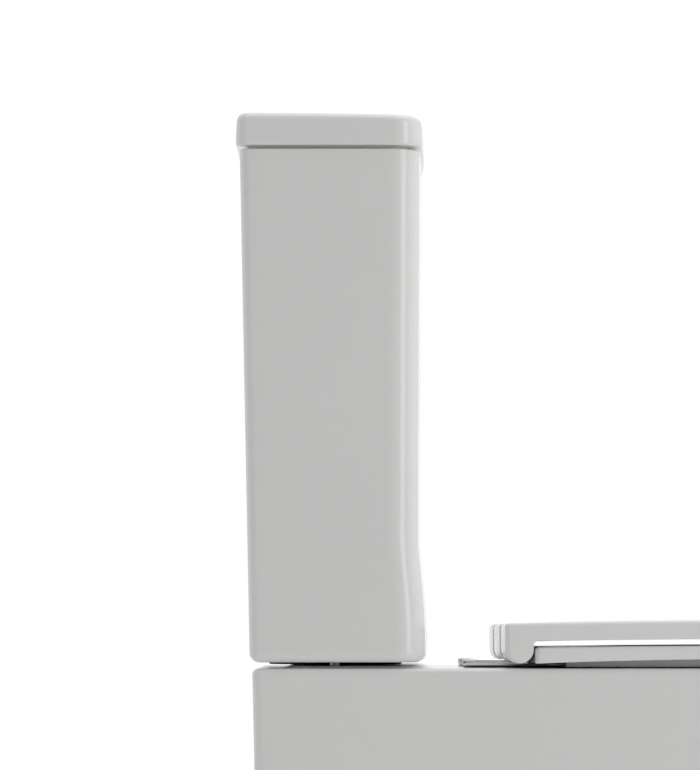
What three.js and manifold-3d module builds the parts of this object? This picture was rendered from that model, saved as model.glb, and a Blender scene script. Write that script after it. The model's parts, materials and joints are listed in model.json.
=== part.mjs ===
// A close coupled toilet: skirted pan, cistern with its flush and fill valves, ring seat and cover.
// Millimetres, +Z up, +X towards the front of the bowl, +Y to the sitter's left.
// The origin is on the floor, half way between the wall line and the front of the cover.

import * as THREE from 'three';
import { ParametricGeometry } from 'three/addons/geometries/ParametricGeometry.js';
import { mergeVertices } from 'three/addons/utils/BufferGeometryUtils.js';
import Module from 'manifold-3d';

const wasm = await Module();
wasm.setup();

// ---- Driving dimensions -------------------------------------------------------------------

const LENGTH = 655;             // wall line to the front of the cover
const LID_HALF = 186;           // half the cistern lid's width
const GAP = 0.3;                // left between touching pieces
const fromWall = (distance) => distance - LENGTH / 2;

const PAN = {
  height: 400, half: 181, back: 13.6, nose: 648, shoulder: 400, corner: 8, wall: 11, deck: 12, fillet: 5,
  footHalf: 175, footBack: 23, footNose: 600,
};
const PLATFORM = {
  back: 38, front: 164, half: 168, rise: 2, slope: 7, backCorner: 12, frontCorner: 24, bow: 4,
};
const BOWL = { wall: 10, sumpZ: 90, sumpD: 394, sumpRadius: 26 };
const TRAP = { outer: 40, inner: 30 };
const FLUSHWAY = { outer: 30, inner: 21 };
const OUTLET = { z: 180, outer: 51, inner: 44, end: 30 };
const SERVICE = { half: 95, top: 262 };
const CHINA = 8;                // cistern wall

const TANK = {
  bottom: 404.8, floor: 415, top: 819, half: 182.5, backCorner: 9, frontCorner: 24, bow: 5.2, edge: 8,
  backLow: 11.7, backHigh: 3, frontHigh: 152.7, frontWaist: 151.3, waist: 503, flare: 5.4, flareHeight: 80,
};
const LID = {
  bottom: 821.5, top: 848, front: 155, backCorner: 10, frontCorner: 25, bow: 5.3, edge: 7, fall: 2.5,
  slab: 9, lip: 7, skirt: 12.5, skirtWall: 4.5, skirtZ: 811,
};

const HINGE = { d: 228, z: 415.5, y: 77.5, knuckle: 7 };
const BARREL = 11.5;            // radius of the cover's rear barrel
const RING = {
  back: 240.7, nose: 651, half: 182.5, shoulder: 400, corner: 5,
  bottom: 403.8, bottomRise: 5, top: 416.9, topRise: 2, run: 112, ribOut: 26, ribIn: 31, ribLow: 401.2,
};
const RING_HOLE = { back: 318, nose: 592, half: 107, shoulder: 440, corner: 96 };
const COVER = {
  back: HINGE.d - BARREL, nose: LENGTH, half: 183.5, shoulder: 400, corner: 5,
  bottom: 421.2, bottomRise: 3, bottomRun: 120, top: 436, topRise: 4, topRun: 180, edge: 3,
};
const PLATE = { back: 185.6, front: 280, step: 240, width: 26, thick: 6, thin: 2.2, gasket: 1, post: 14 };
const PIN = { radius: 4, clear: 0.3, reach: 29 };
const STUD = { d: 201, radius: 4, length: 48, head: 1.6, headRadius: 5.5, sunk: 1.7, recess: 1.9 };
const LUG = { radius: 7.4, half: 5, gap: 0.5, below: 6.5, above: 2 };
const POCKET = { half: 18.5, wallInner: 8.2, roof: 8.8, ahead: 30, notchHalf: 15, notchFront: 4 };

const VALVE = { d: 80, tail: 30, bore: 25, hole: 31.5, nut: 37, well: 43, wellZ: 373, base: 42 };
const INLET = { d: 58, y: 125, shank: 9, hole: 11, deckHole: 24, tailEnd: 362 };
const BOLT = { d: 80, y: 92, radius: 4, hole: 5.5, length: 60, head: 4, headRadius: 9, seal: 5 };
const BUTTON = {
  d: 78, radius: 19.2, sleeve: 20, collar: 22.5, flange: 28, hole: 24, seat: 29, sink: 1.2, split: 4.5,
};
const BRACKET = { d: 300, z: 42, length: 60, height: 70, thick: 4, foot: 45, screwIn: 24, hole: 6.2 };

const finish = (color, roughness, metalness = 0) =>
  new THREE.MeshStandardMaterial({ color, roughness, metalness });
const CERAMIC = finish(0xf4f4f2, 0.12);
const SEAT = finish(0xf6f6f4, 0.25);
const CHROME = finish(0xc8cacc, 0.12, 1);
const STEEL = finish(0xa8aaac, 0.35, 1);
const RUBBER = finish(0x2b2b2c, 0.8);
const CLEAR_RUBBER = finish(0xdcdcd8, 0.5);
const WHITE_PLASTIC = finish(0xe9e9e6, 0.4);
const GREY_PLASTIC = finish(0x9aa0a4, 0.5);
const BLUE_PLASTIC = finish(0x4f7fae, 0.45);

// ---- Solids -------------------------------------------------------------------------------

// Welds a surface into one closed mesh whose faces point out.
function weld(surface) {
  surface.deleteAttribute('normal');
  surface.deleteAttribute('uv');
  const merged = mergeVertices(surface, 1e-4);
  const index = merged.index.array;
  const point = (i) => new THREE.Vector3().fromBufferAttribute(merged.attributes.position, i);
  const faces = [];
  let volume = 0;
  for (let i = 0; i < index.length; i += 3) {
    const [a, b, c] = [index[i], index[i + 1], index[i + 2]];
    if (a === b || b === c || c === a) continue;
    faces.push([a, b, c]);
    volume += point(a).dot(point(b).cross(point(c)));
  }
  merged.setIndex(faces.flatMap(([a, b, c]) => (volume < 0 ? [a, c, b] : [a, b, c])));
  return merged;
}

function solid(surface) {
  const mesh = weld(surface);
  const vertProperties = new Float32Array(mesh.attributes.position.array);
  const triVerts = new Uint32Array(mesh.index.array);
  return new wasm.Manifold(new wasm.Mesh({ numProp: 3, vertProperties, triVerts }));
}

function toGeometry(body) {
  const mesh = body.getMesh();
  const geometry = new THREE.BufferGeometry();
  geometry.setAttribute('position', new THREE.BufferAttribute(new Float32Array(mesh.vertProperties), 3));
  geometry.setIndex(new THREE.BufferAttribute(new Uint32Array(mesh.triVerts), 1));
  geometry.computeVertexNormals();
  return geometry;
}

const join = (...bodies) => bodies.reduce((sum, body) => sum.add(body));
const cut = (body, ...tools) => tools.reduce((rest, tool) => rest.subtract(tool), body);

// A closed skin through rings of points, each ring the same count, with both ends capped.
// A hoop has no caps: its last ring runs back into its first.
function skin(rings, hoop = false) {
  const count = rings[0].length;
  const middle = (ring) => ring.reduce((sum, p) => sum.add(p), new THREE.Vector3()).divideScalar(count);
  const cap = (ring) => Array(count).fill(middle(ring));
  const rows = hoop ? [...rings, rings[0]] : [cap(rings[0]), ...rings, cap(rings.at(-1))];
  const last = rows.length - 1;
  const sample = (u, v, target) => target.copy(rows[Math.round(v * last)][Math.round(u * count) % count]);
  return solid(new ParametricGeometry(sample, count, last));
}

// A profile of [radius, height] pairs turned about a vertical axis.
function turned(profile, sides = 16, x = 0, y = 0) {
  const points = profile.map(([radius, height]) => new THREE.Vector2(radius, height));
  points.push(points[0].clone());
  const surface = new THREE.LatheGeometry(points, sides);
  surface.rotateX(Math.PI / 2);
  surface.translate(x, y, 0);
  return solid(surface);
}

const rod = (radius, low, high, x = 0, y = 0, sides = 16) =>
  turned([[0, low], [radius, low], [radius, high], [0, high]], sides, x, y);

const tube = (outer, inner, low, high, x = 0, y = 0, sides = 16) =>
  turned([[inner, low], [outer, low], [outer, high], [inner, high]], sides, x, y);

function block(x0, x1, y0, y1, z0, z1) {
  const surface = new THREE.BoxGeometry(x1 - x0, y1 - y0, z1 - z0);
  surface.translate((x0 + x1) / 2, (y0 + y1) / 2, (z0 + z1) / 2);
  return solid(surface);
}

// A cylinder along Y through (x, z), from y0 to y1.
function crossRod(radius, x, z, y0, y1, sides = 16) {
  const surface = new THREE.CylinderGeometry(radius, radius, y1 - y0, sides);
  surface.translate(x, (y0 + y1) / 2, z);
  return solid(surface);
}

// A bar of round section along a smooth path in the middle plane.
function pipe(radius, path, steps, halfSides = 7) {
  const section = new THREE.Shape();
  section.absarc(0, 0, radius, 0, 2 * Math.PI);
  const curve = new THREE.CatmullRomCurve3(path.map(([x, z]) => new THREE.Vector3(x, 0, z)));
  return solid(new THREE.ExtrudeGeometry(section, { extrudePath: curve, steps, curveSegments: halfSides }));
}

// ---- Outlines -----------------------------------------------------------------------------

// Straight back with rounded corners, straight sides and a rounded nose, seen from above.
function noseOutline({ back, nose, half, shoulder, corner }, inset = 0, noseSteps = 9, cornerSteps = 4) {
  const fullness = 2 / 2.3;
  const length = nose - inset - shoulder;
  const width = half - inset;
  const radius = Math.max(corner - inset, 1);
  const side = [];
  for (let i = 0; i <= noseSteps; i++) {
    const t = (i / noseSteps) * Math.PI / 2;
    const x = i === noseSteps ? 0 : length * Math.cos(t) ** fullness;
    side.push([shoulder + x, width * Math.sin(t) ** fullness]);
  }
  for (let i = 0; i <= cornerSteps; i++) {
    const t = (1 + i / cornerSteps) * Math.PI / 2;
    side.push([back + inset + radius * (1 + Math.cos(t)), width - radius * (1 - Math.sin(t))]);
  }
  const mirrored = side.slice(1).reverse().map(([x, y]) => [x, -y]);
  return [...side, ...mirrored];
}

// A rounded box seen from above, whose front bows outwards in the middle.
function bowedOutline({ back, front, half, backCorner, frontCorner, bow }, inset = 0) {
  const [x0, x1, width] = [back + inset, front - inset, half - inset];
  const side = [];
  const frontStraight = 3;
  const corner = (radius, cx, cy, from, steps) => {
    for (let i = 0; i <= steps; i++) {
      const t = from + (i / steps) * Math.PI / 2;
      side.push([cx + radius * Math.cos(t), cy + radius * Math.sin(t)]);
    }
  };
  const big = Math.max(frontCorner - inset, 2);
  const small = Math.max(backCorner - inset, 1);
  for (let i = 0; i < frontStraight; i++) side.push([x1, (width - big) * i / frontStraight]);
  corner(big, x1 - big, width - big, 0, 5);
  corner(small, x0 + small, width - small, Math.PI / 2, 3);
  const bend = ([x, y]) => [x - bow * (y / width) ** 2 * Math.max(0, (x - x0) / (x1 - x0)), y];
  const bent = side.map(bend);
  const mirrored = bent.slice(1).reverse().map(([x, y]) => [x, -y]);
  return [...bent, ...mirrored];
}

const oval = (centre, halfLength, halfWidth, count = 28) => Array.from({ length: count }, (_, i) => {
  const t = 2 * Math.PI * i / count;
  return [centre + halfLength * Math.cos(t), halfWidth * Math.sin(t)];
});

// Places an outline at a height: a number, or a function of the distance from the wall.
const level = (outline, height) => outline.map(([d, y]) =>
  new THREE.Vector3(fromWall(d), y, typeof height === 'function' ? height(d) : height));

// ---- Pan ----------------------------------------------------------------------------------

function panOutline(z, inset = 0) {
  const t = z / PAN.height;
  return noseOutline({
    back: THREE.MathUtils.lerp(PAN.footBack, PAN.back, t),
    nose: THREE.MathUtils.lerp(PAN.footNose, PAN.nose, t ** 1.5),
    half: THREE.MathUtils.lerp(PAN.footHalf, PAN.half, t),
    shoulder: PAN.shoulder,
    corner: PAN.corner,
  }, inset);
}

function bowlRings(offset) {
  const stations = [
    [402 - PAN.height, 455, 146, 118], [-6, 455, 141, 113], [-60, 452, 137, 110], [-120, 445, 120, 98],
    [-170, 432, 93, 80], [-212, 415, 68, 62], [-250, 402, 50, 46], [-285, 396, 40, 38],
  ];
  const rings = stations.map(([drop, centre, a, b]) =>
    level(oval(centre, a + offset, b + offset), PAN.height + drop - (drop > 0 ? offset : 0)));
  const sumpHalf = BOWL.sumpRadius + offset;
  rings.push(level(oval(BOWL.sumpD, sumpHalf, sumpHalf), BOWL.sumpZ - offset));
  return rings;
}

function pan() {
  const shellZ = [0, 130, 270, PAN.height - PAN.fillet];
  const rings = shellZ.map((z) => level(panOutline(z), z));
  for (const t of [30, 60, 90]) {
    const angle = THREE.MathUtils.degToRad(t);
    const inset = PAN.fillet * (1 - Math.cos(angle));
    rings.push(level(panOutline(PAN.height, inset), PAN.height - PAN.fillet * (1 - Math.sin(angle))));
  }
  const outside = skin(rings);
  const underDeck = PAN.height - PAN.deck;
  const hollow = skin([-5, 130, 270, underDeck].map((z) => level(panOutline(Math.max(z, 0), PAN.wall), z)));
  const platform = skin([-4, 0, PLATFORM.rise * 0.6, PLATFORM.rise].map((rise, i) => {
    const inset = [0, 0, PLATFORM.slope * 0.4, PLATFORM.slope][i];
    return level(bowedOutline(PLATFORM, inset), PAN.height + rise);
  }));
  const waterway = [[404, 124], [368, 112], [330, 116], [292, 150], [262, 200], [228, 226], [190, 212],
    [152, 186], [100, OUTLET.z]];
  const trap = (radius) => pipe(radius, waterway.map(([d, z]) => [fromWall(d), z]), 14);
  const spigot = (radius, from, to) => crossToX(radius, OUTLET.z, fromWall(from), fromWall(to));
  const channel = [[VALVE.d, 378], [VALVE.d + 22, 360], [150, 352], [220, 352], [330, 356]];
  const flushway = (radius) => pipe(radius, channel.map(([d, z]) => [fromWall(d), z]), 8);
  const vx = fromWall(VALVE.d);
  const core = join(
    skin(bowlRings(BOWL.wall)), trap(TRAP.outer), spigot(OUTLET.outer, OUTLET.end, 175),
    flushway(FLUSHWAY.outer), rod(VALVE.well + 9, VALVE.wellZ - 9, underDeck + 1, vx, 0, 24),
  );
  const inSkirt = skin([-5, underDeck + 2].map((z) => level(panOutline(PAN.height * 0.9, 2), z)));
  const clipped = core.intersect(inSkirt);
  const body = join(cut(outside, hollow), platform, clipped);
  const rearWall = fromWall(PAN.footBack + PAN.wall + 6);
  const serviceOpening = block(fromWall(0), rearWall, -SERVICE.half, SERVICE.half, -5, SERVICE.top);
  const spigotAgain = cut(spigot(OUTLET.outer, OUTLET.end, 60), spigot(OUTLET.inner, OUTLET.end - 5, 65));
  const opened = join(cut(body, serviceOpening), spigotAgain);
  const [holeLow, holeHigh] = [underDeck - 8, PAN.height + 10];
  const [sideIn, sideOut] = [150, 190];
  const holes = [1, -1].flatMap((side) => [
    rod(BOLT.hole, holeLow, holeHigh, fromWall(BOLT.d), side * BOLT.y, 12),
    rod(STUD.radius + 2, holeLow, holeHigh, fromWall(STUD.d), side * HINGE.y, 12),
    crossRod(BRACKET.hole, fromWall(BRACKET.d), BRACKET.z, side > 0 ? sideIn : -sideOut,
      side > 0 ? sideOut : -sideIn, 12),
  ]);
  return cut(
    opened, skin(bowlRings(0)), trap(TRAP.inner), spigot(OUTLET.inner, OUTLET.end - 5, 160),
    flushway(FLUSHWAY.inner), rod(VALVE.well, VALVE.wellZ, holeHigh, vx, 0, 24),
    rod(INLET.deckHole, holeLow, holeHigh, fromWall(INLET.d), INLET.y, 16), ...holes,
  );
}

// A cylinder along X at height z in the middle plane.
function crossToX(radius, z, x0, x1, sides = 24) {
  const surface = new THREE.CylinderGeometry(radius, radius, x1 - x0, sides);
  surface.rotateZ(-Math.PI / 2);
  surface.translate((x0 + x1) / 2, 0, z);
  return solid(surface);
}

// ---- Cistern and lid ----------------------------------------------------------------------

function tankOutline(z, inset = 0) {
  const t = (z - TANK.bottom) / (TANK.top - TANK.bottom);
  const swell = THREE.MathUtils.clamp((TANK.waist - z) / TANK.flareHeight, 0, 1);
  const lean = Math.max(0, (z - TANK.waist) / (TANK.top - TANK.waist));
  const front = THREE.MathUtils.lerp(TANK.frontWaist, TANK.frontHigh, lean)
    + TANK.flare * Math.sin(swell * Math.PI / 2) ** 1.3;
  const back = THREE.MathUtils.lerp(TANK.backLow, TANK.backHigh, t);
  return bowedOutline({ ...TANK, back, front }, inset);
}

function cistern() {
  const rings = [15, 45, 75].map((degrees) => {
    const angle = THREE.MathUtils.degToRad(degrees);
    const z = TANK.bottom + TANK.edge * (1 - Math.sin(angle));
    return level(tankOutline(z, TANK.edge * (1 - Math.cos(angle))), z);
  }).reverse();
  rings.unshift(level(tankOutline(TANK.bottom, TANK.edge), TANK.bottom));
  const heights = [414, 428, 446, 464, 482, TANK.waist, TANK.top];
  const outside = skin([...rings, ...heights.map((z) => level(tankOutline(z), z))]);
  const inner = [TANK.floor, TANK.floor + 10, TANK.waist, TANK.top + 5];
  const inside = skin(inner.map((z, i) => level(tankOutline(z, CHINA + (i === 0 ? 6 : 0)), z)));
  const [low, high] = [TANK.bottom - 5, TANK.floor + 5];
  return cut(
    outside, inside, rod(VALVE.hole, low, high, fromWall(VALVE.d), 0, 24),
    rod(INLET.hole, low, high, fromWall(INLET.d), INLET.y, 16),
    ...[1, -1].map((side) => rod(BOLT.hole, low, high, fromWall(BOLT.d), side * BOLT.y, 12)),
  );
}

function lidLevel(z, inset) {
  const shape = { ...LID, back: 0, half: LID_HALF };
  const share = (z - LID.bottom) / (LID.top - LID.bottom);
  const outline = bowedOutline(shape, inset);
  return level(outline, (d) => z - (share > 0.6 ? LID.fall * (d / LID.front) ** 2 : 0));
}

function cisternLid() {
  const draft = 0.6;
  const rings = [
    lidLevel(LID.bottom, 1), lidLevel(LID.bottom + 2.5, 0), lidLevel(LID.top - LID.edge - 1, draft),
  ];
  for (const degrees of [25, 50, 75, 90]) {
    const angle = THREE.MathUtils.degToRad(degrees);
    const inset = draft + LID.edge * (1 - Math.cos(angle));
    rings.push(lidLevel(LID.top - LID.edge * (1 - Math.sin(angle)), inset));
  }
  const band = (inset, low, high) => skin([lidLevel(low, inset), lidLevel(high, inset)]);
  const bx = fromWall(BUTTON.d);
  return cut(
    join(
      skin(rings), band(LID.lip, TANK.top + GAP, LID.bottom + 1),
      band(LID.skirt, LID.skirtZ, LID.bottom + 1),
    ),
    band(LID.skirt + LID.skirtWall, LID.skirtZ - 2, LID.top - LID.slab - LID.fall),
    rod(BUTTON.hole, LID.skirtZ, LID.top + 5, bx, 0, 24),
    rod(BUTTON.seat, LID.top - BUTTON.sink, LID.top + 5, bx, 0, 24),
  );
}

// ---- Seat ---------------------------------------------------------------------------------

const settle = (base, rise, start, run) => (d) =>
  base + rise * (1 - Math.exp(-Math.max(0, d - start) / run));
const ringBottom = settle(RING.bottom, RING.bottomRise, RING.back, RING.run);
const ringTop = settle(RING.top, RING.topRise, RING.back, RING.run);
const coverBottom = settle(COVER.bottom, COVER.bottomRise, COVER.back, COVER.bottomRun);
const coverTop = settle(COVER.top, COVER.topRise, COVER.back, COVER.topRun);

function seatRing() {
  const outer = (inset, height) => level(noseOutline(RING, inset), height);
  const inner = (inset, height) => level(noseOutline(RING_HOLE, inset), height);
  const plate = skin([
    outer(1.5, ringBottom), outer(0, (d) => ringBottom(d) + 2), outer(0, (d) => ringTop(d) - 3),
    outer(0.9, (d) => ringTop(d) - 0.9), outer(3, ringTop), inner(-6, ringTop),
    inner(-1.5, (d) => ringTop(d) - 1.2), inner(0, (d) => ringTop(d) - 4),
    inner(0, (d) => ringBottom(d) + 1), inner(-1, ringBottom),
  ], true);
  const ribTop = (d) => ringBottom(d) + 2;
  const rib = skin([
    outer(RING.ribOut, RING.ribLow), outer(RING.ribOut, ribTop), outer(RING.ribIn, ribTop),
    outer(RING.ribIn, RING.ribLow),
  ], true);
  const ax = fromWall(HINGE.d);
  const lugs = [1, -1].flatMap((side) => [1, -1].map((end) => {
    const y = side * HINGE.y + end * (PLATE.post / 2 + LUG.gap + LUG.half);
    const reach = fromWall(RING.back) + 6;
    return join(
      crossRod(LUG.radius, ax, HINGE.z, y - LUG.half, y + LUG.half),
      block(ax, reach, y - LUG.half, y + LUG.half, HINGE.z - LUG.below, HINGE.z + LUG.above),
    );
  }));
  const clearPlates = [1, -1].map((side) => block(
    fromWall(RING.back) - 5, fromWall(PLATE.front) + 3, side * HINGE.y - PLATE.width / 2 - 2,
    side * HINGE.y + PLATE.width / 2 + 2, RING.bottom - 5, PAN.height + PLATE.gasket + PLATE.thin + 1.2));
  const bores = [1, -1].map((side) => crossRod(
    PIN.radius + PIN.clear, ax, HINGE.z, side * HINGE.y - 20, side * HINGE.y + 20));
  return cut(join(cut(join(plate, rib), ...clearPlates), ...lugs), ...bores);
}

function seatCover() {
  const ring = (inset, height) => level(noseOutline(COVER, inset), height);
  const slab = skin([
    ring(130, coverBottom), ring(70, coverBottom), ring(1, coverBottom),
    ring(0, (d) => coverBottom(d) + 1.2), ring(0, (d) => coverTop(d) - COVER.edge),
    ring(0.9, (d) => coverTop(d) - 0.9), ring(COVER.edge, coverTop), ring(70, coverTop), ring(130, coverTop),
  ]);
  const ax = fromWall(HINGE.d);
  const end = COVER.half - 0.4;
  const barrel = join(
    crossRod(BARREL, ax, HINGE.z, -end, end, 28),
    block(ax - BARREL, ax + BARREL - 0.5, -end, end, HINGE.z, COVER.bottom + 2),
  );
  const pockets = [1, -1].flatMap((side) => {
    const y = side * HINGE.y;
    return [
      block(ax - POCKET.wallInner, ax + POCKET.ahead, y - POCKET.half, y + POCKET.half,
        HINGE.z - 20, HINGE.z + 4),
      crossRod(POCKET.roof, ax, HINGE.z, y - POCKET.half, y + POCKET.half, 20),
      block(ax - BARREL - 5, ax - POCKET.notchFront, y - POCKET.notchHalf, y + POCKET.notchHalf,
        HINGE.z - 20, COVER.top + 10),
      crossRod(PIN.radius + PIN.clear, ax, HINGE.z, y - PIN.reach - 1, y + PIN.reach + 1),
    ];
  });
  return cut(join(slab, barrel), ...pockets);
}

// Hinge plate screwed to the deck, with the knuckle that holds the pin.
function hingePlate(side) {
  const ax = fromWall(HINGE.d);
  const y = side * HINGE.y;
  const low = PAN.height + PLATE.gasket + GAP;
  const high = PAN.height + PLATE.gasket + PLATE.thick;
  const [y0, y1] = [y - PLATE.width / 2, y + PLATE.width / 2];
  const round = PLATE.width / 2;
  const knuckle = [y - PLATE.post / 2, y + PLATE.post / 2];
  return cut(
    join(
      block(fromWall(PLATE.back) + round, fromWall(PLATE.step), y0, y1, low, high),
      rod(round, low, high, fromWall(PLATE.back) + round, y, 20),
      block(fromWall(PLATE.step) - 1, fromWall(PLATE.front), y0, y1, low,
        PAN.height + PLATE.gasket + PLATE.thin),
      block(ax - HINGE.knuckle, ax + HINGE.knuckle, knuckle[0], knuckle[1], high - 1, HINGE.z),
      crossRod(HINGE.knuckle, ax, HINGE.z, knuckle[0], knuckle[1]),
    ),
    crossRod(PIN.radius + 0.1, ax, HINGE.z, knuckle[0] - 1, knuckle[1] + 1),
    rod(STUD.radius + 0.2, low - 1, high + 1, fromWall(STUD.d), y),
    rod(STUD.headRadius + 0.3, high - STUD.recess, high + 1, fromWall(STUD.d), y),
  );
}

function hingeGasket(side) {
  const y = side * HINGE.y;
  const round = PLATE.width / 2 - 0.5;
  const [low, high] = [PAN.height + 0.2, PAN.height + PLATE.gasket];
  const x0 = fromWall(PLATE.back) + 0.5;
  return cut(
    join(
      block(x0 + round, fromWall(PLATE.front) - 0.5, y - round, y + round, low, high),
      rod(round, low, high, x0 + round, y, 20),
    ),
    rod(STUD.radius + 1, low - 1, high + 1, fromWall(STUD.d), y),
  );
}

// ---- Small round parts, modelled about their own axis ---------------------------------------

const NUT_HEIGHT = 10;

// A nut with two wings, bored for a stud.
function wingNut(bore, wingSpan) {
  return cut(
    join(rod(bore + 5, 0, NUT_HEIGHT), block(-wingSpan, wingSpan, -2, 2, 1, NUT_HEIGHT - 1)),
    rod(bore + 0.3, -1, NUT_HEIGHT + 1),
  );
}

function hexNut(across, bore, height) {
  return cut(rod(across / 2, 0, height, 0, 0, 6), rod(bore, -1, height + 1, 0, 0, 24));
}

function cisternBolt() {
  const { radius, length, head, headRadius } = BOLT;
  return join(rod(radius, 0, length), rod(headRadius, length, length + head, 0, 0, 12));
}

function hingeStud() {
  const top = STUD.length + STUD.head;
  const { headRadius } = STUD;
  const head = turned([[0, STUD.length], [headRadius, STUD.length], [headRadius - 1, top], [0, top]]);
  return join(rod(STUD.radius, 0, STUD.length), head);
}

// ---- Flush valve --------------------------------------------------------------------------

const FLUSH = {
  tailEnd: 386, washer: 415.3, flange: 418.5, seat: 424.5, cage: 520, guide: 556, head: 700, headTop: 714,
  headRadius: 30, rodHalf: 13, rodFull: -10, well: 4.5, tubeTop: 640, ribs: 38, pillars: 24,
};

function flushValveBody() {
  const base = turned([
    [VALVE.bore, FLUSH.tailEnd], [VALVE.tail, FLUSH.tailEnd], [VALVE.tail, FLUSH.flange],
    [VALVE.base, FLUSH.flange], [VALVE.base, FLUSH.flange + 4], [VALVE.bore + 4, FLUSH.flange + 4],
    [VALVE.bore + 2, FLUSH.seat], [VALVE.bore, FLUSH.seat],
  ], 20);
  const ribs = [45, 135, 225, 315].map((degrees) => {
    const angle = THREE.MathUtils.degToRad(degrees);
    const [x, y] = [FLUSH.ribs * Math.cos(angle), FLUSH.ribs * Math.sin(angle)];
    return block(x - 3, x + 3, y - 3, y + 3, FLUSH.flange + 2, FLUSH.cage + 3);
  });
  const crown = tube(VALVE.base, 16, FLUSH.cage, FLUSH.cage + 6);
  const guide = tube(20, 15, FLUSH.cage + 5, FLUSH.guide);
  const pillars = [1, -1].map((side) => {
    const x = side * FLUSH.pillars;
    return block(x - 4, x + 4, -5, 5, FLUSH.cage + 5, FLUSH.head + 1);
  });
  const head = rod(FLUSH.headRadius, FLUSH.head, FLUSH.headTop);
  const wells = [FLUSH.rodHalf, FLUSH.rodFull].map((y) =>
    rod(FLUSH.well, FLUSH.head - 1, FLUSH.headTop + 1, 0, y, 12));
  return cut(join(base, ...ribs, crown, guide, ...pillars, head), ...wells);
}

// The overflow tube with the disc that closes the outlet: it lifts to flush.
function flushPlug() {
  const low = FLUSH.seat + GAP + 2.5;
  return turned([
    [10.5, low], [32, low], [32, low + 4], [16, low + 8], [13.5, low + 12], [13.5, FLUSH.tubeTop],
    [10.5, FLUSH.tubeTop],
  ]);
}

// ---- Fill valve ---------------------------------------------------------------------------

const FILL = {
  flange: 418.5, base: 16, column: 8.5, columnTop: 740, head: 17, headTop: 770,
  floatLow: 640, floatHigh: 700, floatRadius: 28, rodY: -25, pivotY: 8, pivotZ: 777, lever: 4,
};

function fillValveBody() {
  const body = turned([
    [0, INLET.tailEnd], [INLET.shank, INLET.tailEnd], [INLET.shank, FILL.flange],
    [FILL.base, FILL.flange], [FILL.base, FILL.flange + 4], [FILL.column, FILL.flange + 4],
    [FILL.column, FILL.columnTop], [FILL.head, FILL.columnTop + 4], [FILL.head, FILL.headTop],
    [0, FILL.headTop],
  ]);
  const water = rod(6, INLET.tailEnd - 1, INLET.tailEnd + 60, 0, 0, 12);
  const ears = [1, -1].map((side) => block(
    side * 6.5 - 1.5, side * 6.5 + 1.5, FILL.pivotY - 4, FILL.pivotY + 4, FILL.headTop - 2, FILL.pivotZ + 4));
  const spout = block(-4, 4, 12, 24, FILL.columnTop + 8, FILL.columnTop + 18);
  return cut(join(body, ...ears, spout), water);
}

// Float cup that slides on the fill valve's column, with the link that lifts the lever.
function fillFloat() {
  const cup = tube(FILL.floatRadius, 9.2, FILL.floatLow, FILL.floatHigh);
  const linkTop = FILL.pivotZ - FILL.lever / 2 - GAP;
  const [foot, radius, point] = [FILL.floatHigh - 5, 2.2, 0.6];
  const profile = [[0, foot], [radius, foot], [radius, linkTop - 2], [point, linkTop], [0, linkTop]];
  const link = turned(profile, 10, 0, FILL.rodY);
  return join(cup, link);
}

function fillLever() {
  const half = FILL.lever / 2;
  const bar = block(-4, 4, FILL.rodY - 4, FILL.pivotY + 4, FILL.pivotZ - half, FILL.pivotZ + half);
  const hinge = rodAlongX(3.4, FILL.pivotY, FILL.pivotZ, -4.4, 4.4);
  return join(bar, hinge);
}

function rodAlongX(radius, y, z, x0, x1) {
  const surface = new THREE.CylinderGeometry(radius, radius, x1 - x0, 12);
  surface.rotateZ(-Math.PI / 2);
  surface.translate((x0 + x1) / 2, y, z);
  return solid(surface);
}

// ---- Dual flush button --------------------------------------------------------------------

const PRESS = {
  seat: LID.top - BUTTON.sink + GAP, rim: LID.top + 1.6, collarEnd: 818, faceDrop: 8, rodEnd: 708,
};

function buttonBezel() {
  return turned([
    [BUTTON.sleeve, PRESS.collarEnd], [BUTTON.collar, PRESS.collarEnd], [BUTTON.collar, PRESS.seat],
    [BUTTON.flange, PRESS.seat], [BUTTON.flange, PRESS.rim - 1], [BUTTON.flange - 1.5, PRESS.rim],
    [BUTTON.sleeve + 0.8, PRESS.rim], [BUTTON.sleeve, PRESS.rim - 0.8],
  ], 28);
}

// side +1 is the small button for half a flush, -1 the large one.
function buttonPad(side) {
  const face = rod(BUTTON.radius, PRESS.rim - PRESS.faceDrop, PRESS.rim - 0.2, 0, 0, 28);
  const [low, high] = [PRESS.rim - 20, PRESS.rim + 5];
  const reach = 30;
  const [y0, y1] = side > 0 ? [BUTTON.split + GAP, reach] : [-reach, BUTTON.split - GAP];
  return face.intersect(block(-reach, reach, y0, y1, low, high));
}

function pushRod() {
  const collar = tube(4.5, 2, 800, 812, 0, 0, 12);
  return join(rod(2.5, PRESS.rodEnd, PRESS.rim - PRESS.faceDrop - GAP, 0, 0, 10), collar);
}

// ---- Floor fixing -------------------------------------------------------------------------

const skirtInside = PAN.footHalf - PAN.wall - 1.5;

// An angle bracket inside the skirt: side +1 on the left.
function floorBracket(side) {
  const { length, height, thick } = BRACKET;
  const x = fromWall(BRACKET.d);
  const span = (a, b) => (side > 0 ? [a, b] : [-b, -a]);
  const [u0, u1] = span(skirtInside - thick, skirtInside);
  const [f0, f1] = span(skirtInside - BRACKET.foot, skirtInside - 0.01);
  return cut(
    join(
      block(x - length / 2, x + length / 2, u0, u1, 0.2, height),
      block(x - length / 2, x + length / 2, f0, f1, 0.2, thick + 0.2),
    ),
    rod(3.6, -1, thick + 2, x, side * (skirtInside - BRACKET.screwIn), 12),
    crossRod(3, x, BRACKET.z, u0 - 1, u1 + 1, 12),
  );
}

function countersunkScrew(length) {
  const [radius, headRadius, top] = [2.6, 5.5, length + 1.2];
  return turned([
    [0, 0], [radius, 3], [radius, length - 3], [headRadius, length], [headRadius, top], [0, top],
  ], 12);
}

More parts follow.
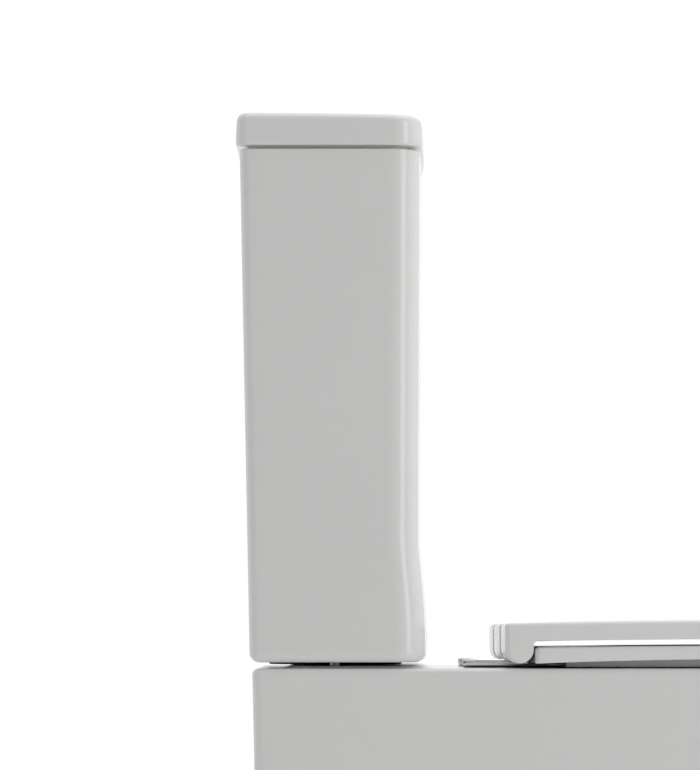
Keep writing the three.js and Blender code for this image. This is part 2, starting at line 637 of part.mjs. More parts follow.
const capOf = (radius, depth) => turned([[0, 0], [radius, 0], [radius - 1.2, depth], [0, depth]], 20);

// ---- Assembly -----------------------------------------------------------------------------

const toilet = new THREE.Group();

function place(name, body, material, x = 0, y = 0, z = 0, parent = toilet) {
  const mesh = new THREE.Mesh(toGeometry(body), material);
  mesh.name = name;
  mesh.position.set(x, y, z);
  parent.add(mesh);
  return mesh;
}

place('pan', pan(), CERAMIC);
place('cistern', cistern(), CERAMIC);
place('cistern_lid', cisternLid(), CERAMIC);
place('seat_ring', seatRing(), SEAT);
place('seat_cover', seatCover(), SEAT);

const sides = [['left', 1], ['right', -1]];
const deckUnder = PAN.height - PAN.deck;

for (const [label, side] of sides) {
  const ax = fromWall(HINGE.d);
  const y = side * HINGE.y;
  place(`hinge_plate_${label}`, hingePlate(side), CHROME);
  place(`hinge_gasket_${label}`, hingeGasket(side), RUBBER);
  place(`hinge_pin_${label}`, crossRod(PIN.radius - 0.1, 0, 0, -PIN.reach, PIN.reach), STEEL, ax, y, HINGE.z);
  const studBase = PAN.height + PLATE.gasket + PLATE.thick - STUD.sunk - STUD.length;
  const sx = fromWall(STUD.d);
  place(`hinge_stud_${label}`, hingeStud(), STEEL, sx, y, studBase);
  place(`hinge_washer_${label}`, tube(13, 4.6, 0, 3), RUBBER, sx, y, deckUnder - 3 - GAP);
  const nutBase = deckUnder - 3 - NUT_HEIGHT - 2 * GAP;
  place(`hinge_nut_${label}`, wingNut(STUD.radius, 15), WHITE_PLASTIC, sx, y, nutBase);

  const bx = fromWall(BOLT.d);
  const by = side * BOLT.y;
  const sealTop = TANK.floor + GAP + BOLT.seal;
  place(`cistern_bolt_${label}`, cisternBolt(), STEEL, bx, by, sealTop + GAP - BOLT.length);
  const cone = turned([[4.5, 0], [13, 0], [BOLT.headRadius, BOLT.seal], [4.5, BOLT.seal]]);
  place(`cistern_bolt_seal_${label}`, cone, RUBBER, bx, by, TANK.floor + GAP);
  place(`cistern_bolt_washer_${label}`, tube(13, 4.6, 0, 2), RUBBER, bx, by, deckUnder - 2 - GAP);
  const boltNutBase = deckUnder - 2 - NUT_HEIGHT - 2 * GAP;
  place(`cistern_bolt_nut_${label}`, wingNut(BOLT.radius, 16), WHITE_PLASTIC, bx, by, boltNutBase);
}

// Buffers: four under the ring, two between the cover and the ring.
for (const [where, d, y] of [['rear', 300, 138], ['front', 560, 100]]) {
  for (const [label, side] of sides) {
    const height = ringBottom(d) - PAN.height - 3 * GAP;
    const pad = turned([[0, 0], [6.5, 0], [8, 1.2], [8, height], [0, height]]);
    place(`ring_buffer_${where}_${label}`, pad, CLEAR_RUBBER, fromWall(d), side * y, PAN.height + GAP);
  }
}
for (const [label, side] of sides) {
  const d = 575;
  const top = coverBottom(d) - 2 * GAP;
  const height = top - ringTop(d) - GAP;
  const pad = turned([[0, 0], [5, 0], [6.5, 1], [6.5, height], [0, height]]);
  place(`cover_buffer_${label}`, pad, CLEAR_RUBBER, fromWall(d), side * 112, top - height);
}

// Flush valve with its plug, washer, back nut and the doughnut gasket around the nut.
const vx = fromWall(VALVE.d);
place('flush_valve_body', flushValveBody(), WHITE_PLASTIC, vx);
place('flush_plug', flushPlug(), BLUE_PLASTIC, vx);
place('flush_plug_seal', tube(33, 22, 0, 2.2, 0, 0, 24), RUBBER, vx, 0, FLUSH.seat + GAP);
place('flush_valve_washer', tube(41, VALVE.tail + 0.5, 0, 2.9, 0, 0, 24), RUBBER, vx, 0, FLUSH.washer);
const backNut = hexNut(2 * VALVE.nut, VALVE.tail + 0.4, 12);
place('flush_valve_nut', backNut, WHITE_PLASTIC, vx, 0, TANK.bottom - GAP - 12);
const doughnut = tube(56, VALVE.nut + 3, 0, 2.2, 0, 0, 24);
place('coupling_gasket', doughnut, RUBBER, vx, 0, PAN.height + PLATFORM.rise + GAP);

// Fill valve with its float and lever, inside washer and back nut.
const ix = fromWall(INLET.d);
place('fill_valve_body', fillValveBody(), WHITE_PLASTIC, ix, INLET.y);
place('fill_valve_float', fillFloat(), GREY_PLASTIC, ix, INLET.y);
place('fill_valve_lever', fillLever(), WHITE_PLASTIC, ix, INLET.y);
place('fill_valve_washer', tube(16, INLET.shank + 0.5, 0, 2.9), RUBBER, ix, INLET.y, FLUSH.washer);
place('fill_valve_nut', hexNut(36, INLET.shank + 0.4, 9), WHITE_PLASTIC, ix, INLET.y, TANK.bottom - GAP - 9);

// Dual flush button in the lid, with the push rods that reach down to the flush valve.
const bx = fromWall(BUTTON.d);
place('button_bezel', buttonBezel(), CHROME, bx);
place('button_half', buttonPad(1), CHROME, bx);
place('button_full', buttonPad(-1), CHROME, bx);
place('button_nut', tube(30, BUTTON.collar + 0.4, 0, 6, 0, 0, 24), WHITE_PLASTIC, bx, 0, 829);
place('push_rod_half', pushRod(), WHITE_PLASTIC, vx, FLUSH.rodHalf);
place('push_rod_full', pushRod(), WHITE_PLASTIC, vx, FLUSH.rodFull);

// Floor fixing on both sides of the skirt.
for (const [label, side] of sides) {
  const x = fromWall(BRACKET.d);
  place(`floor_bracket_${label}`, floorBracket(side), GREY_PLASTIC);
  const floorScrewY = side * (skirtInside - BRACKET.screwIn);
  place(`floor_screw_${label}`, countersunkScrew(14), STEEL, x, floorScrewY, 1);
  const sideScrewY = side * (skirtInside - 8);
  const screw = place(`side_screw_${label}`, countersunkScrew(19), STEEL, x, sideScrewY, BRACKET.z);
  screw.rotation.x = side > 0 ? -Math.PI / 2 : Math.PI / 2;
  const cap = place(`side_cap_${label}`, capOf(8, 2), CHROME, x, side * 176, BRACKET.z);
  cap.rotation.x = side > 0 ? -Math.PI / 2 : Math.PI / 2;
}

export default toilet;
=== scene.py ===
import bmesh
import bpy
import json
import math
from mathutils import Matrix, Vector
from bpy.props import FloatProperty, FloatVectorProperty, IntProperty, PointerProperty


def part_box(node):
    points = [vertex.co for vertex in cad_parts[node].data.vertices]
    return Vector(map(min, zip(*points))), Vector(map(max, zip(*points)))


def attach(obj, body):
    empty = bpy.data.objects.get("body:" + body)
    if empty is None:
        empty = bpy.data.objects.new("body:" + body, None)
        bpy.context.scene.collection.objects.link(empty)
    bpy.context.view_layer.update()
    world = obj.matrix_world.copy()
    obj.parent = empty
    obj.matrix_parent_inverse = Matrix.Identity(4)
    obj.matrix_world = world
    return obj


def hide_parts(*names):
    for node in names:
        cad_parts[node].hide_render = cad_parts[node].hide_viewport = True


bl_info = {
    "name": "Close Coupled Toilet",
    "version": (1, 0, 0),
    "blender": (4, 5, 0),
    "location": "3D View > Sidebar > Toilet",
    "description": "Builds the glazed, moulded and plated pieces of a close coupled toilet",
    "category": "Add Mesh",
}

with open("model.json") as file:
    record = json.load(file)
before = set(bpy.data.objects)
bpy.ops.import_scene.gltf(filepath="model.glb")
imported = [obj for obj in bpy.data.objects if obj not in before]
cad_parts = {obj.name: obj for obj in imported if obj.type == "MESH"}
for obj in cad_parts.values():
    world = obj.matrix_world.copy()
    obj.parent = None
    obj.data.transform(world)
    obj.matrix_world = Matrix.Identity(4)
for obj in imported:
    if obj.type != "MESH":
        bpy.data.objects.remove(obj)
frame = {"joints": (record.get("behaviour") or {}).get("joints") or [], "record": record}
bpy.context.view_layer.update()

MM = 0.001
PAN_LOW, PAN_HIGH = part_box("pan")
TANK_LOW, TANK_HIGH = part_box("cistern")
LID_LOW, LID_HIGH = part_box("cistern_lid")
WALL = LID_LOW.x / MM            # the wall line, where the cistern lid's back stands
RING_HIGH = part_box("seat_ring")[1]
COVER_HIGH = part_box("seat_cover")[1]
HINGE = Vector(next(j["pos_m"] for j in frame["joints"] if j["name"] == "seat_hinge")) / MM
LEVER_PIVOT = Vector(next(j["pos_m"] for j in frame["joints"] if j["name"] == "lever_tilt")) / MM
SIDES = (("left", 1), ("right", -1))


def from_wall(distance):
    return WALL + distance


def extent(node):
    """Lowest corner, highest corner and centre of a node's box, in millimetres."""
    low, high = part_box(node)
    return low / MM, high / MM, (low + high) / 2 / MM


def low_of(node):
    return extent(node)[0]


def high_of(node):
    return extent(node)[1]


def middle(node):
    return extent(node)[2]


def length_setting(name, description, default):
    return FloatProperty(name=name, description=description, default=default * MM, unit="LENGTH",
                         subtype="DISTANCE", precision=4)


def colour_setting(name, description, default):
    return FloatVectorProperty(name=name, description=description, default=default, size=3,
                               subtype="COLOR", min=0.0, max=1.0)


# ---- Settings -----------------------------------------------------------------------------

class PanSettings(bpy.types.PropertyGroup):
    deck: length_setting("Deck height", "Height of the flat deck above the floor", 400)
    wall: length_setting("Skirt wall", "Thickness of the skirt's wall", 11)
    fillet: length_setting("Deck edge", "Radius of the deck's outer edge", 5)
    lip: length_setting("Bowl lip", "Radius of the bowl's rolled lip", 7)


class CisternSettings(bpy.types.PropertyGroup):
    wall: length_setting("Wall", "Thickness of the cistern's wall", 8)
    bow: length_setting("Front bow", "How far the front stands out in the middle", 5.2)
    flare: length_setting("Foot flare", "How far the front swells near the foot", 5.4)
    lid_edge: length_setting("Lid edge", "Radius of the lid's top edge", 7)


class SeatSettings(bpy.types.PropertyGroup):
    barrel: length_setting("Barrel radius", "Radius of the cover's round back", 11.5)
    cover_edge: length_setting("Cover edge", "Radius of the cover's top edge", 3)
    ring_edge: length_setting("Ring edge", "Radius of the ring's top edge", 3)


class FittingSettings(bpy.types.PropertyGroup):
    thread_pitch: length_setting("Thread pitch", "Pitch of the plastic threads", 3)
    fine_pitch: length_setting("Stud pitch", "Pitch of the steel threads", 1.25)
    cage_bars: IntProperty(name="Cage bars", description="Bars round the flush valve's foot",
                           default=10, min=4, max=20)
    nut_grips: IntProperty(name="Nut grips", description="Grips round each large nut",
                           default=12, min=6, max=24)


class FinishSettings(bpy.types.PropertyGroup):
    glaze: colour_setting("Glaze", "Colour of the glazed china", (0.84, 0.84, 0.835))
    biscuit: colour_setting("Bare china", "Colour of the china where the glaze stops", (0.72, 0.67, 0.60))
    seat: colour_setting("Seat", "Colour of the moulded seat", (0.86, 0.86, 0.855))
    chrome: colour_setting("Chrome", "Tint of the plated parts", (0.83, 0.84, 0.85))
    steel: colour_setting("Steel", "Tint of the studs and screws", (0.56, 0.57, 0.58))
    black: colour_setting("Black rubber", "Colour of the seals", (0.022, 0.022, 0.023))
    white: colour_setting("White plastic", "Colour of the valve bodies", (0.78, 0.78, 0.76))
    grey: colour_setting("Grey plastic", "Colour of the float and brackets", (0.36, 0.39, 0.41))
    blue: colour_setting("Blue plastic", "Colour of the lifting plug", (0.10, 0.26, 0.48))


class StageSettings(bpy.types.PropertyGroup):
    lens: FloatProperty(name="Lens", description="Focal length of the camera in millimetres", default=187.15)
    eye_above_deck: length_setting("Eye height", "Camera height above the pan's deck", 28.3)
    distance: length_setting("Distance", "Camera distance from the near side of the cistern", 3212)
    ahead: length_setting("Camera place", "Camera distance from the wall line", 92.3)
    tilt: FloatProperty(name="Tilt", description="Upward tilt of the camera", default=math.radians(3.547),
                        subtype="ANGLE")


# ---- Mesh building ------------------------------------------------------------------------

SMOOTH = 40.0        # degrees; sharper edges keep their crease
ON_AXIS = 1e-6       # a point nearer to the axis than this, in millimetres, lies on it


def outward_volume(mesh):
    """Three times the volume; negative where the faces point inwards."""
    return sum(p.area * p.center.dot(p.normal) for p in mesh.polygons)


def new_object(name, verts, faces, materials, smooth=SMOOTH):
    """A smooth object from points in millimetres and their faces, turned so that it faces outwards."""
    mesh = bpy.data.meshes.new(name)
    mesh.from_pydata([Vector(v) * MM for v in verts], [], faces)
    mesh.update()
    if outward_volume(mesh) < 0:
        mesh.flip_normals()
    obj = bpy.data.objects.new(name, mesh)
    bpy.context.scene.collection.objects.link(obj)
    for material in materials:
        mesh.materials.append(material)
    soften(obj, smooth)
    return obj


def discard(obj):
    """Deletes an object with its mesh."""
    mesh = obj.data
    bpy.data.objects.remove(obj)
    bpy.data.meshes.remove(mesh)


def soften(obj, smooth=SMOOTH):
    mesh = obj.data
    mesh.polygons.foreach_set("use_smooth", [True] * len(mesh.polygons))
    mesh.set_sharp_from_angle(angle=math.radians(smooth))


def loft(name, rings, materials, hoop=False, inside_from=None, smooth=SMOOTH):
    """A closed skin through rings of points. Rings from inside_from on take the second material."""
    count = len(rings[0])
    verts = [p for ring in rings for p in ring]
    faces = []
    slots = []
    rows = len(rings)
    for r in range(rows if hoop else rows - 1):
        a, b = r * count, (r + 1) % rows * count
        for i in range(count):
            j = (i + 1) % count
            faces.append((a + i, a + j, b + j, b + i))
            slots.append(1 if inside_from is not None and r >= inside_from else 0)
    if not hoop:
        for r in (0, rows - 1):
            centre = len(verts)
            verts.append(tuple(sum(p[k] for p in rings[r]) / count for k in range(3)))
            base = r * count
            for i in range(count):
                j = (i + 1) % count
                faces.append((centre, base + j, base + i) if r == 0 else (centre, base + i, base + j))
                slots.append(1 if inside_from is not None and r else 0)
    obj = new_object(name, verts, faces, materials, smooth)
    obj.data.polygons.foreach_set("material_index", slots)
    return obj


def circle(sides):
    """Angles in radians all the way round, without the last, which is the first again."""
    return [2 * math.pi * k / sides for k in range(sides)]


def lathe(name, profile, material, sides=48, x=0.0, y=0.0):
    """A profile of (radius, height) points turned about a vertical axis. It starts and ends on the
    axis, or closes on itself."""
    on_axis = profile[0][0] < ON_AXIS
    if on_axis:
        profile = tip(profile[0], profile[1]) + profile[1:-1] + tip(profile[-1], profile[-2])
    rings = [[(x + radius * math.cos(t), y + radius * math.sin(t), z) for t in circle(sides)]
             for radius, z in profile]
    return loft(name, rings, [material], hoop=not on_axis)


def tip(end, near):
    """A tiny ring for an end that stands above or below its neighbour; a flat end needs none."""
    return [(0.02, end[1])] if abs(end[1] - near[1]) > ON_AXIS else []


def rounded(profile, radius=0.6, steps=4, closed=True):
    """Rounds the corners of a profile; corners on the axis stay."""
    result = []
    count = len(profile)
    for i, corner in enumerate(profile):
        before = profile[i - 1]
        after = profile[(i + 1) % count]
        ends = not closed and i in (0, count - 1)
        if ends or corner[0] < ON_AXIS:
            result.append(corner)
            continue
        to_before = Vector((before[0] - corner[0], before[1] - corner[1]))
        to_after = Vector((after[0] - corner[0], after[1] - corner[1]))
        reach = min(radius, to_before.length * 0.45, to_after.length * 0.45)
        start = Vector(corner) + to_before.normalized() * reach
        end = Vector(corner) + to_after.normalized() * reach
        for s in range(steps + 1):
            t = s / steps
            point = start * (1 - t) ** 2 + Vector(corner) * 2 * t * (1 - t) + end * t ** 2
            result.append((point.x, point.y))
    return result


def turned(name, profile, material, sides=48, x=0.0, y=0.0, edge=0.6):
    """A lathe shape with rounded corners."""
    if edge:
        profile = rounded(profile, edge, closed=profile[0][0] >= ON_AXIS)
    return lathe(name, profile, material, sides, x, y)


def washer(name, outer, inner, low, high, material, x=0.0, y=0.0, edge=0.5, sides=56):
    profile = [(inner, low), (outer, low), (outer, high), (inner, high)]
    return turned(name, profile, material, sides, x, y, edge)


def bar(name, radius, low, high, material, x=0.0, y=0.0, edge=0.5, sides=32):
    return turned(name, [(0, low), (radius, low), (radius, high), (0, high)], material, sides, x, y, edge)


def cross_bar(name, radius, centre, direction, length, material, sides=32, edge=0.5):
    """A round bar lying along direction, from centre for half its length each way."""
    obj = bar(name, radius, -length / 2, length / 2, material, edge=edge, sides=sides)
    turn_to(obj, direction)
    place(obj, centre)
    return obj


def turn_to(obj, direction):
    """Turns an object's mesh so that its own Z axis runs along direction."""
    obj.data.transform(Vector(direction).to_track_quat("Z", "Y").to_matrix().to_4x4())


def place(obj, centre):
    """Moves an object's mesh by millimetres, leaving the object at the origin."""
    obj.data.transform(Matrix.Translation(Vector(centre) * MM))


def box(name, low, high, material, bevel=0.8, segments=3):
    (x0, y0, z0), (x1, y1, z1) = low, high
    verts = [(x, y, z) for z in (z0, z1) for x, y in ((x0, y0), (x1, y0), (x1, y1), (x0, y1))]
    faces = [(0, 3, 2, 1), (4, 5, 6, 7), (0, 1, 5, 4), (1, 2, 6, 5), (2, 3, 7, 6), (3, 0, 4, 7)]
    obj = new_object(name, verts, faces, [material])
    return edge_round(obj, bevel, segments) if bevel else obj


def prism(name, outline, low, high, material, bevel=0.8, segments=3):
    count = len(outline)
    verts = [(x, y, z) for z in (low, high) for x, y in outline]
    faces = [tuple(range(count))[::-1], tuple(range(count, 2 * count))]
    faces += [(i, (i + 1) % count, count + (i + 1) % count, count + i) for i in range(count)]
    obj = new_object(name, verts, faces, [material])
    return edge_round(obj, bevel, segments) if bevel else obj


ALONG_X, ALONG_Y = (2, 0, 1), (0, 2, 1)      # which of a prism's own axes become X, Y and Z


def lay(obj, axes, at=(0, 0, 0)):
    """Lays a prism along another axis, moves it by millimetres and keeps it facing outwards."""
    mesh = obj.data
    for vertex in mesh.vertices:
        vertex.co = [vertex.co[axis] + move * MM for axis, move in zip(axes, at)]
    if outward_volume(mesh) < 0:
        mesh.flip_normals()
    return obj


def settle(obj, smooth=SMOOTH):
    """Turns the object's live modifiers into plain mesh."""
    graph = bpy.context.evaluated_depsgraph_get()
    graph.update()
    mesh = bpy.data.meshes.new_from_object(obj.evaluated_get(graph), depsgraph=graph)
    old = obj.data
    obj.modifiers.clear()
    obj.data = mesh
    bpy.data.meshes.remove(old)
    soften(obj, smooth)
    return obj


def edge_round(obj, width, segments=3, angle=32.0):
    modifier = obj.modifiers.new("Edge", "BEVEL")
    modifier.width = width * MM
    modifier.segments = segments
    modifier.limit_method = "ANGLE"
    modifier.angle_limit = math.radians(angle)
    modifier.harden_normals = False
    return settle(obj, smooth=35.0)


def combine(obj, tools, operation):
    """Joins or cuts obj with each tool, exactly, and deletes the tools."""
    for tool in tools:
        modifier = obj.modifiers.new("Join", "BOOLEAN")
        modifier.operation = operation
        modifier.solver = "EXACT"
        modifier.object = tool
        settle(obj)
        close_slivers(obj.data)
        soften(obj)
        if not obj.data.polygons:
            raise RuntimeError(f"{obj.name} vanished on {operation} with {tool.name}")
        discard(tool)
    return obj


def close_slivers(mesh, reach=2e-6):
    """Merges the points that an exact cut leaves almost on top of each other."""
    work = bmesh.new()
    work.from_mesh(mesh)
    bmesh.ops.remove_doubles(work, verts=work.verts, dist=reach)
    bmesh.ops.dissolve_degenerate(work, edges=work.edges, dist=reach)
    work.to_mesh(mesh)
    work.free()


def join(obj, *tools):
    return combine(obj, tools, "UNION")


def cut(obj, *tools):
    return combine(obj, tools, "DIFFERENCE")


def merge(name, pieces):
    """Puts the meshes of several objects in one object, unchanged."""
    verts, faces, slots, materials = [], [], [], []
    for piece in pieces:
        base = len(verts)
        verts += [v.co.copy() / MM for v in piece.data.vertices]
        for material in piece.data.materials:
            if material not in materials:
                materials.append(material)
        for polygon in piece.data.polygons:
            faces.append(tuple(base + v for v in polygon.vertices))
            slots.append(materials.index(piece.data.materials[polygon.material_index]))
        discard(piece)
    obj = new_object(name, verts, faces, materials)
    obj.data.polygons.foreach_set("material_index", slots)
    return obj


def tube_along(name, radius, path, material, sides=32, steps=60):
    """A round bar along a smooth path in the middle plane, given as (distance from the wall, height)."""
    path = [(from_wall(d), z) for d, z in path]
    points = [spline(path, t / steps) for t in range(steps + 1)]
    rings = []
    for i, (x, z) in enumerate(points):
        a = points[max(i - 1, 0)]
        b = points[min(i + 1, steps)]
        run = Vector((b[0] - a[0], b[1] - a[1])).normalized()
        across = Vector((-run.y, run.x))
        rings.append([(x + across.x * radius * math.cos(t), radius * math.sin(t),
                       z + across.y * radius * math.cos(t)) for t in circle(sides)])
    return loft(name, rings, [material])


def spline(points, t):
    """Smooth curve through points of any dimension, t from 0 to 1."""
    spans = len(points) - 1
    place_on = min(t, 0.999999) * spans
    i = int(place_on)
    u = place_on - i
    around = (points[min(max(k, 0), spans)] for k in (i - 1, i, i + 1, i + 2))
    return tuple(0.5 * (2 * b + (c - a) * u + (2 * a - 5 * b + 4 * c - d) * u * u
                        + (3 * b - a - 3 * c + d) * u ** 3) for a, b, c, d in zip(*around))


BODY_OF = {n: body for body, nodes in frame["record"]["behaviour"]["bodies"].items() for n in nodes}


def piece(obj, node):
    """Hands a finished piece over in place of the node it stands for."""
    obj.name = node + "_finished"
    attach(obj, BODY_OF[node])
    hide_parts(node)


# ---- Outlines, in millimetres from the wall line ------------------------------------------

def nose_outline(back, nose, half, shoulder, corner, inset=0.0, steps=(44, 14, 8, 16)):
    """Straight back with rounded corners, straight sides and a rounded nose, from the tip round."""
    nose_steps, side_steps, corner_steps, back_steps = steps
    fullness = 2 / 2.3
    length = nose - inset - shoulder
    width = half - inset
    radius = max(corner - inset, 0.8)
    side = []
    for i in range(nose_steps + 1):
        t = i / nose_steps * math.pi / 2
        x = 0.0 if i == nose_steps else length * math.cos(t) ** fullness
        side.append((shoulder + x, width * math.sin(t) ** fullness))
    start = back + inset + radius
    for i in range(1, side_steps):
        side.append((shoulder + (start - shoulder) * i / side_steps, width))
    for i in range(corner_steps + 1):
        t = (1 + i / corner_steps) * math.pi / 2
        side.append((start + radius * math.cos(t), width - radius * (1 - math.sin(t))))
    for i in range(1, back_steps + 1):
        side.append((back + inset, (width - radius) * (1 - i / back_steps)))
    return side + [(x, -y) for x, y in side[-2:0:-1]]


def bowed_outline(back, front, half, back_corner, front_corner, bow, inset=0.0):
    """A rounded box whose front bows out in the middle, from the front's middle round."""
    front_steps, big_steps, side_steps, small_steps, back_steps = 18, 12, 14, 8, 14
    x0, x1, width = back + inset, front - inset, half - inset
    big = max(front_corner - inset, 2.0)
    small = max(back_corner - inset, 0.8)
    side = [(x1, (width - big) * i / front_steps) for i in range(front_steps)]
    for i in range(big_steps + 1):
        t = i / big_steps * math.pi / 2
        side.append((x1 - big + big * math.cos(t), width - big + big * math.sin(t)))
    for i in range(1, side_steps):
        side.append((x1 - big + (x0 + small - x1 + big) * i / side_steps, width))
    for i in range(small_steps + 1):
        t = (1 + i / small_steps) * math.pi / 2
        side.append((x0 + small + small * math.cos(t), width - small + small * math.sin(t)))
    for i in range(1, back_steps + 1):
        side.append((x0, (width - small) * (1 - i / back_steps)))
    bent = [(x - bow * (y / width) ** 2 * max(0.0, (x - x0) / (x1 - x0)), y) for x, y in side]
    return bent + [(x, -y) for x, y in bent[-2:0:-1]]


def level(outline, height):
    """Places an outline at a height: a number, or a function of the distance from the wall."""
    return [(from_wall(d), y, height(d) if callable(height) else height) for d, y in outline]


def arc(start, end, steps):
    """Angles in radians from start to end degrees, both included."""
    return [math.radians(start + (end - start) * i / steps) for i in range(steps + 1)]


def quarter(radius, start, end, steps, height=None):
    """Insets and drops of points round an edge of that radius, or of another radius in height."""
    tall = radius if height is None else height
    return [(radius * (1 - math.cos(a)), tall * (1 - math.sin(a))) for a in arc(start, end, steps)]


def raised(height, rise):
    """A height that varies with the distance from the wall, lifted by rise."""
    return lambda d: height(d) + rise


def mix_points(start, end, share):
    """The points a share of the way from one outline to the other."""
    return [(a + (c - a) * share, b + (d - b) * share) for (a, b), (c, d) in zip(start, end)]


def half_round(low_x, high_x, y, half):
    """A plate's outline from above: straight across at high_x, a half circle towards low_x."""
    curve = [(low_x + half + half * math.cos(a), y + half * math.sin(a)) for a in arc(90, 270, 24)]
    return [(high_x, y - half), (high_x, y + half)] + curve


# ---- Materials ----------------------------------------------------------------------------

def shader(name, roughness, metallic=0.0, **sockets):
    """A material with its principled shader; the sockets given are the same all over."""
    material = bpy.data.materials.new(name)
    material.use_nodes = True
    nodes = material.node_tree.nodes
    principled = nodes["Principled BSDF"]
    principled.inputs["Roughness"].default_value = roughness
    principled.inputs["Metallic"].default_value = metallic
    for socket, value in sockets.items():
        principled.inputs[socket.replace("_", " ")].default_value = value
    return material, nodes, material.node_tree.links, principled


def noise_of(nodes, links, scale, detail=2.0, stretch=(1, 1, 1), coordinates=None):
    if coordinates is None:
        coordinates = nodes.new("ShaderNodeTexCoord")
    mapping = nodes.new("ShaderNodeMapping")
    mapping.inputs["Scale"].default_value = stretch
    noise = nodes.new("ShaderNodeTexNoise")
    noise.inputs["Scale"].default_value = scale
    noise.inputs["Detail"].default_value = detail
    links.new(coordinates.outputs["Object"], mapping.inputs["Vector"])
    links.new(mapping.outputs["Vector"], noise.inputs["Vector"])
    return noise


def vary(nodes, links, source, low, high, target):
    """Runs a socket from low to high as the source goes through its middle range."""
    spread = nodes.new("ShaderNodeMapRange")
    spread.inputs["From Min"].default_value = 0.3
    spread.inputs["From Max"].default_value = 0.7
    spread.inputs["To Min"].default_value = low
    spread.inputs["To Max"].default_value = high
    links.new(source, spread.inputs["Value"])
    links.new(spread.outputs["Result"], target)


def tint(nodes, links, source, colour, change, target=None):
    """A colour that drifts by change, up and down, with the source."""
    mix = nodes.new("ShaderNodeMix")
    mix.data_type = "RGBA"
    mix.inputs["A"].default_value = [max(0.0, c * (1 - change)) for c in colour] + [1.0]
    mix.inputs["B"].default_value = [min(1.0, c * (1 + change)) for c in colour] + [1.0]
    links.new(source, mix.inputs["Factor"])
    if target is not None:
        links.new(mix.outputs["Result"], target)
    return mix


def relief(nodes, links, source, distance, principled, strength=1.0, before=None):
    bump = nodes.new("ShaderNodeBump")
    bump.inputs["Distance"].default_value = distance
    bump.inputs["Strength"].default_value = strength
    links.new(source, bump.inputs["Height"])
    if before is not None:
        links.new(before.outputs["Normal"], bump.inputs["Normal"])
    links.new(bump.outputs["Normal"], principled.inputs["Normal"])
    return bump


def glazed_china(finish):
    """Glaze with its slow waviness and fine peel; bare biscuit on the foot that stands on the floor."""
    material, nodes, links, principled = shader("glazed_china", 0.08, IOR=1.52, Specular_IOR_Level=0.5)
    cloud = noise_of(nodes, links, 9.0, 3.0)
    wave = noise_of(nodes, links, 26.0, 1.0)
    peel = noise_of(nodes, links, 420.0, 1.0)
    glaze = tint(nodes, links, cloud.outputs["Fac"], finish.glaze, 0.012)
    place_of = nodes.new("ShaderNodeTexCoord")
    parts = nodes.new("ShaderNodeSeparateXYZ")
    links.new(place_of.outputs["Object"], parts.inputs["Vector"])
    foot = nodes.new("ShaderNodeMapRange")
    foot.inputs["From Min"].default_value = 0.0015
    foot.inputs["From Max"].default_value = 0.0035
    foot.inputs["To Min"].default_value = 1.0
    foot.inputs["To Max"].default_value = 0.0
    links.new(parts.outputs["Z"], foot.inputs["Value"])
    both = nodes.new("ShaderNodeMix")
    both.data_type = "RGBA"
    both.inputs["B"].default_value = list(finish.biscuit) + [1.0]
    links.new(foot.outputs["Result"], both.inputs["Factor"])
    links.new(glaze.outputs["Result"], both.inputs["A"])
    links.new(both.outputs["Result"], principled.inputs["Base Color"])
    gloss = nodes.new("ShaderNodeMapRange")
    gloss.inputs["To Min"].default_value = 0.09
    gloss.inputs["To Max"].default_value = 0.16
    links.new(cloud.outputs["Fac"], gloss.inputs["Value"])
    dull = nodes.new("ShaderNodeMath")
    dull.operation = "MAXIMUM"
    links.new(gloss.outputs["Result"], dull.inputs[0])
    links.new(foot.outputs["Result"], dull.inputs[1])
    links.new(dull.outputs["Value"], principled.inputs["Roughness"])
    slow = relief(nodes, links, wave.outputs["Fac"], 0.0002, principled, 0.5)
    relief(nodes, links, peel.outputs["Fac"], 0.00001, principled, 0.5, slow)
    return material


def thin_glaze(finish):
    """The inside of the cistern and the hidden side of the pan: thin glaze over biscuit, with specks."""
    material, nodes, links, principled = shader("thin_glaze", 0.4)
    cloud = noise_of(nodes, links, 22.0, 4.0)
    specks = noise_of(nodes, links, 700.0, 2.0)
    colour = [0.55 * g + 0.45 * b for g, b in zip(finish.glaze, finish.biscuit)]
    tint(nodes, links, cloud.outputs["Fac"], colour, 0.07, principled.inputs["Base Color"])
    vary(nodes, links, cloud.outputs["Fac"], 0.3, 0.6, principled.inputs["Roughness"])
    relief(nodes, links, specks.outputs["Fac"], 0.00012, principled, 0.5)
    return material


def moulded_seat(finish):
    """Pressed thermoset: hard white gloss with a very slight drift and peel."""
    material, nodes, links, principled = shader("moulded_seat", 0.22, IOR=1.45)
    drift = noise_of(nodes, links, 7.0, 2.0)
    peel = noise_of(nodes, links, 300.0, 1.0)
    tint(nodes, links, drift.outputs["Fac"], finish.seat, 0.01, principled.inputs["Base Color"])
    vary(nodes, links, drift.outputs["Fac"], 0.2, 0.28, principled.inputs["Roughness"])
    relief(nodes, links, peel.outputs["Fac"], 0.000012, principled, 0.5)
    return material


def chrome_plate(finish):
    """Bright plating with faint wiping marks."""
    material, nodes, links, principled = shader("chrome_plate", 0.07, 1.0)
    haze = noise_of(nodes, links, 60.0, 3.0)
    wipes = noise_of(nodes, links, 260.0, 2.0, (1, 9, 9))
    tint(nodes, links, haze.outputs["Fac"], finish.chrome, 0.02, principled.inputs["Base Color"])
    vary(nodes, links, wipes.outputs["Fac"], 0.04, 0.12, principled.inputs["Roughness"])
    relief(nodes, links, haze.outputs["Fac"], 0.00002, principled, 0.3)
    return material


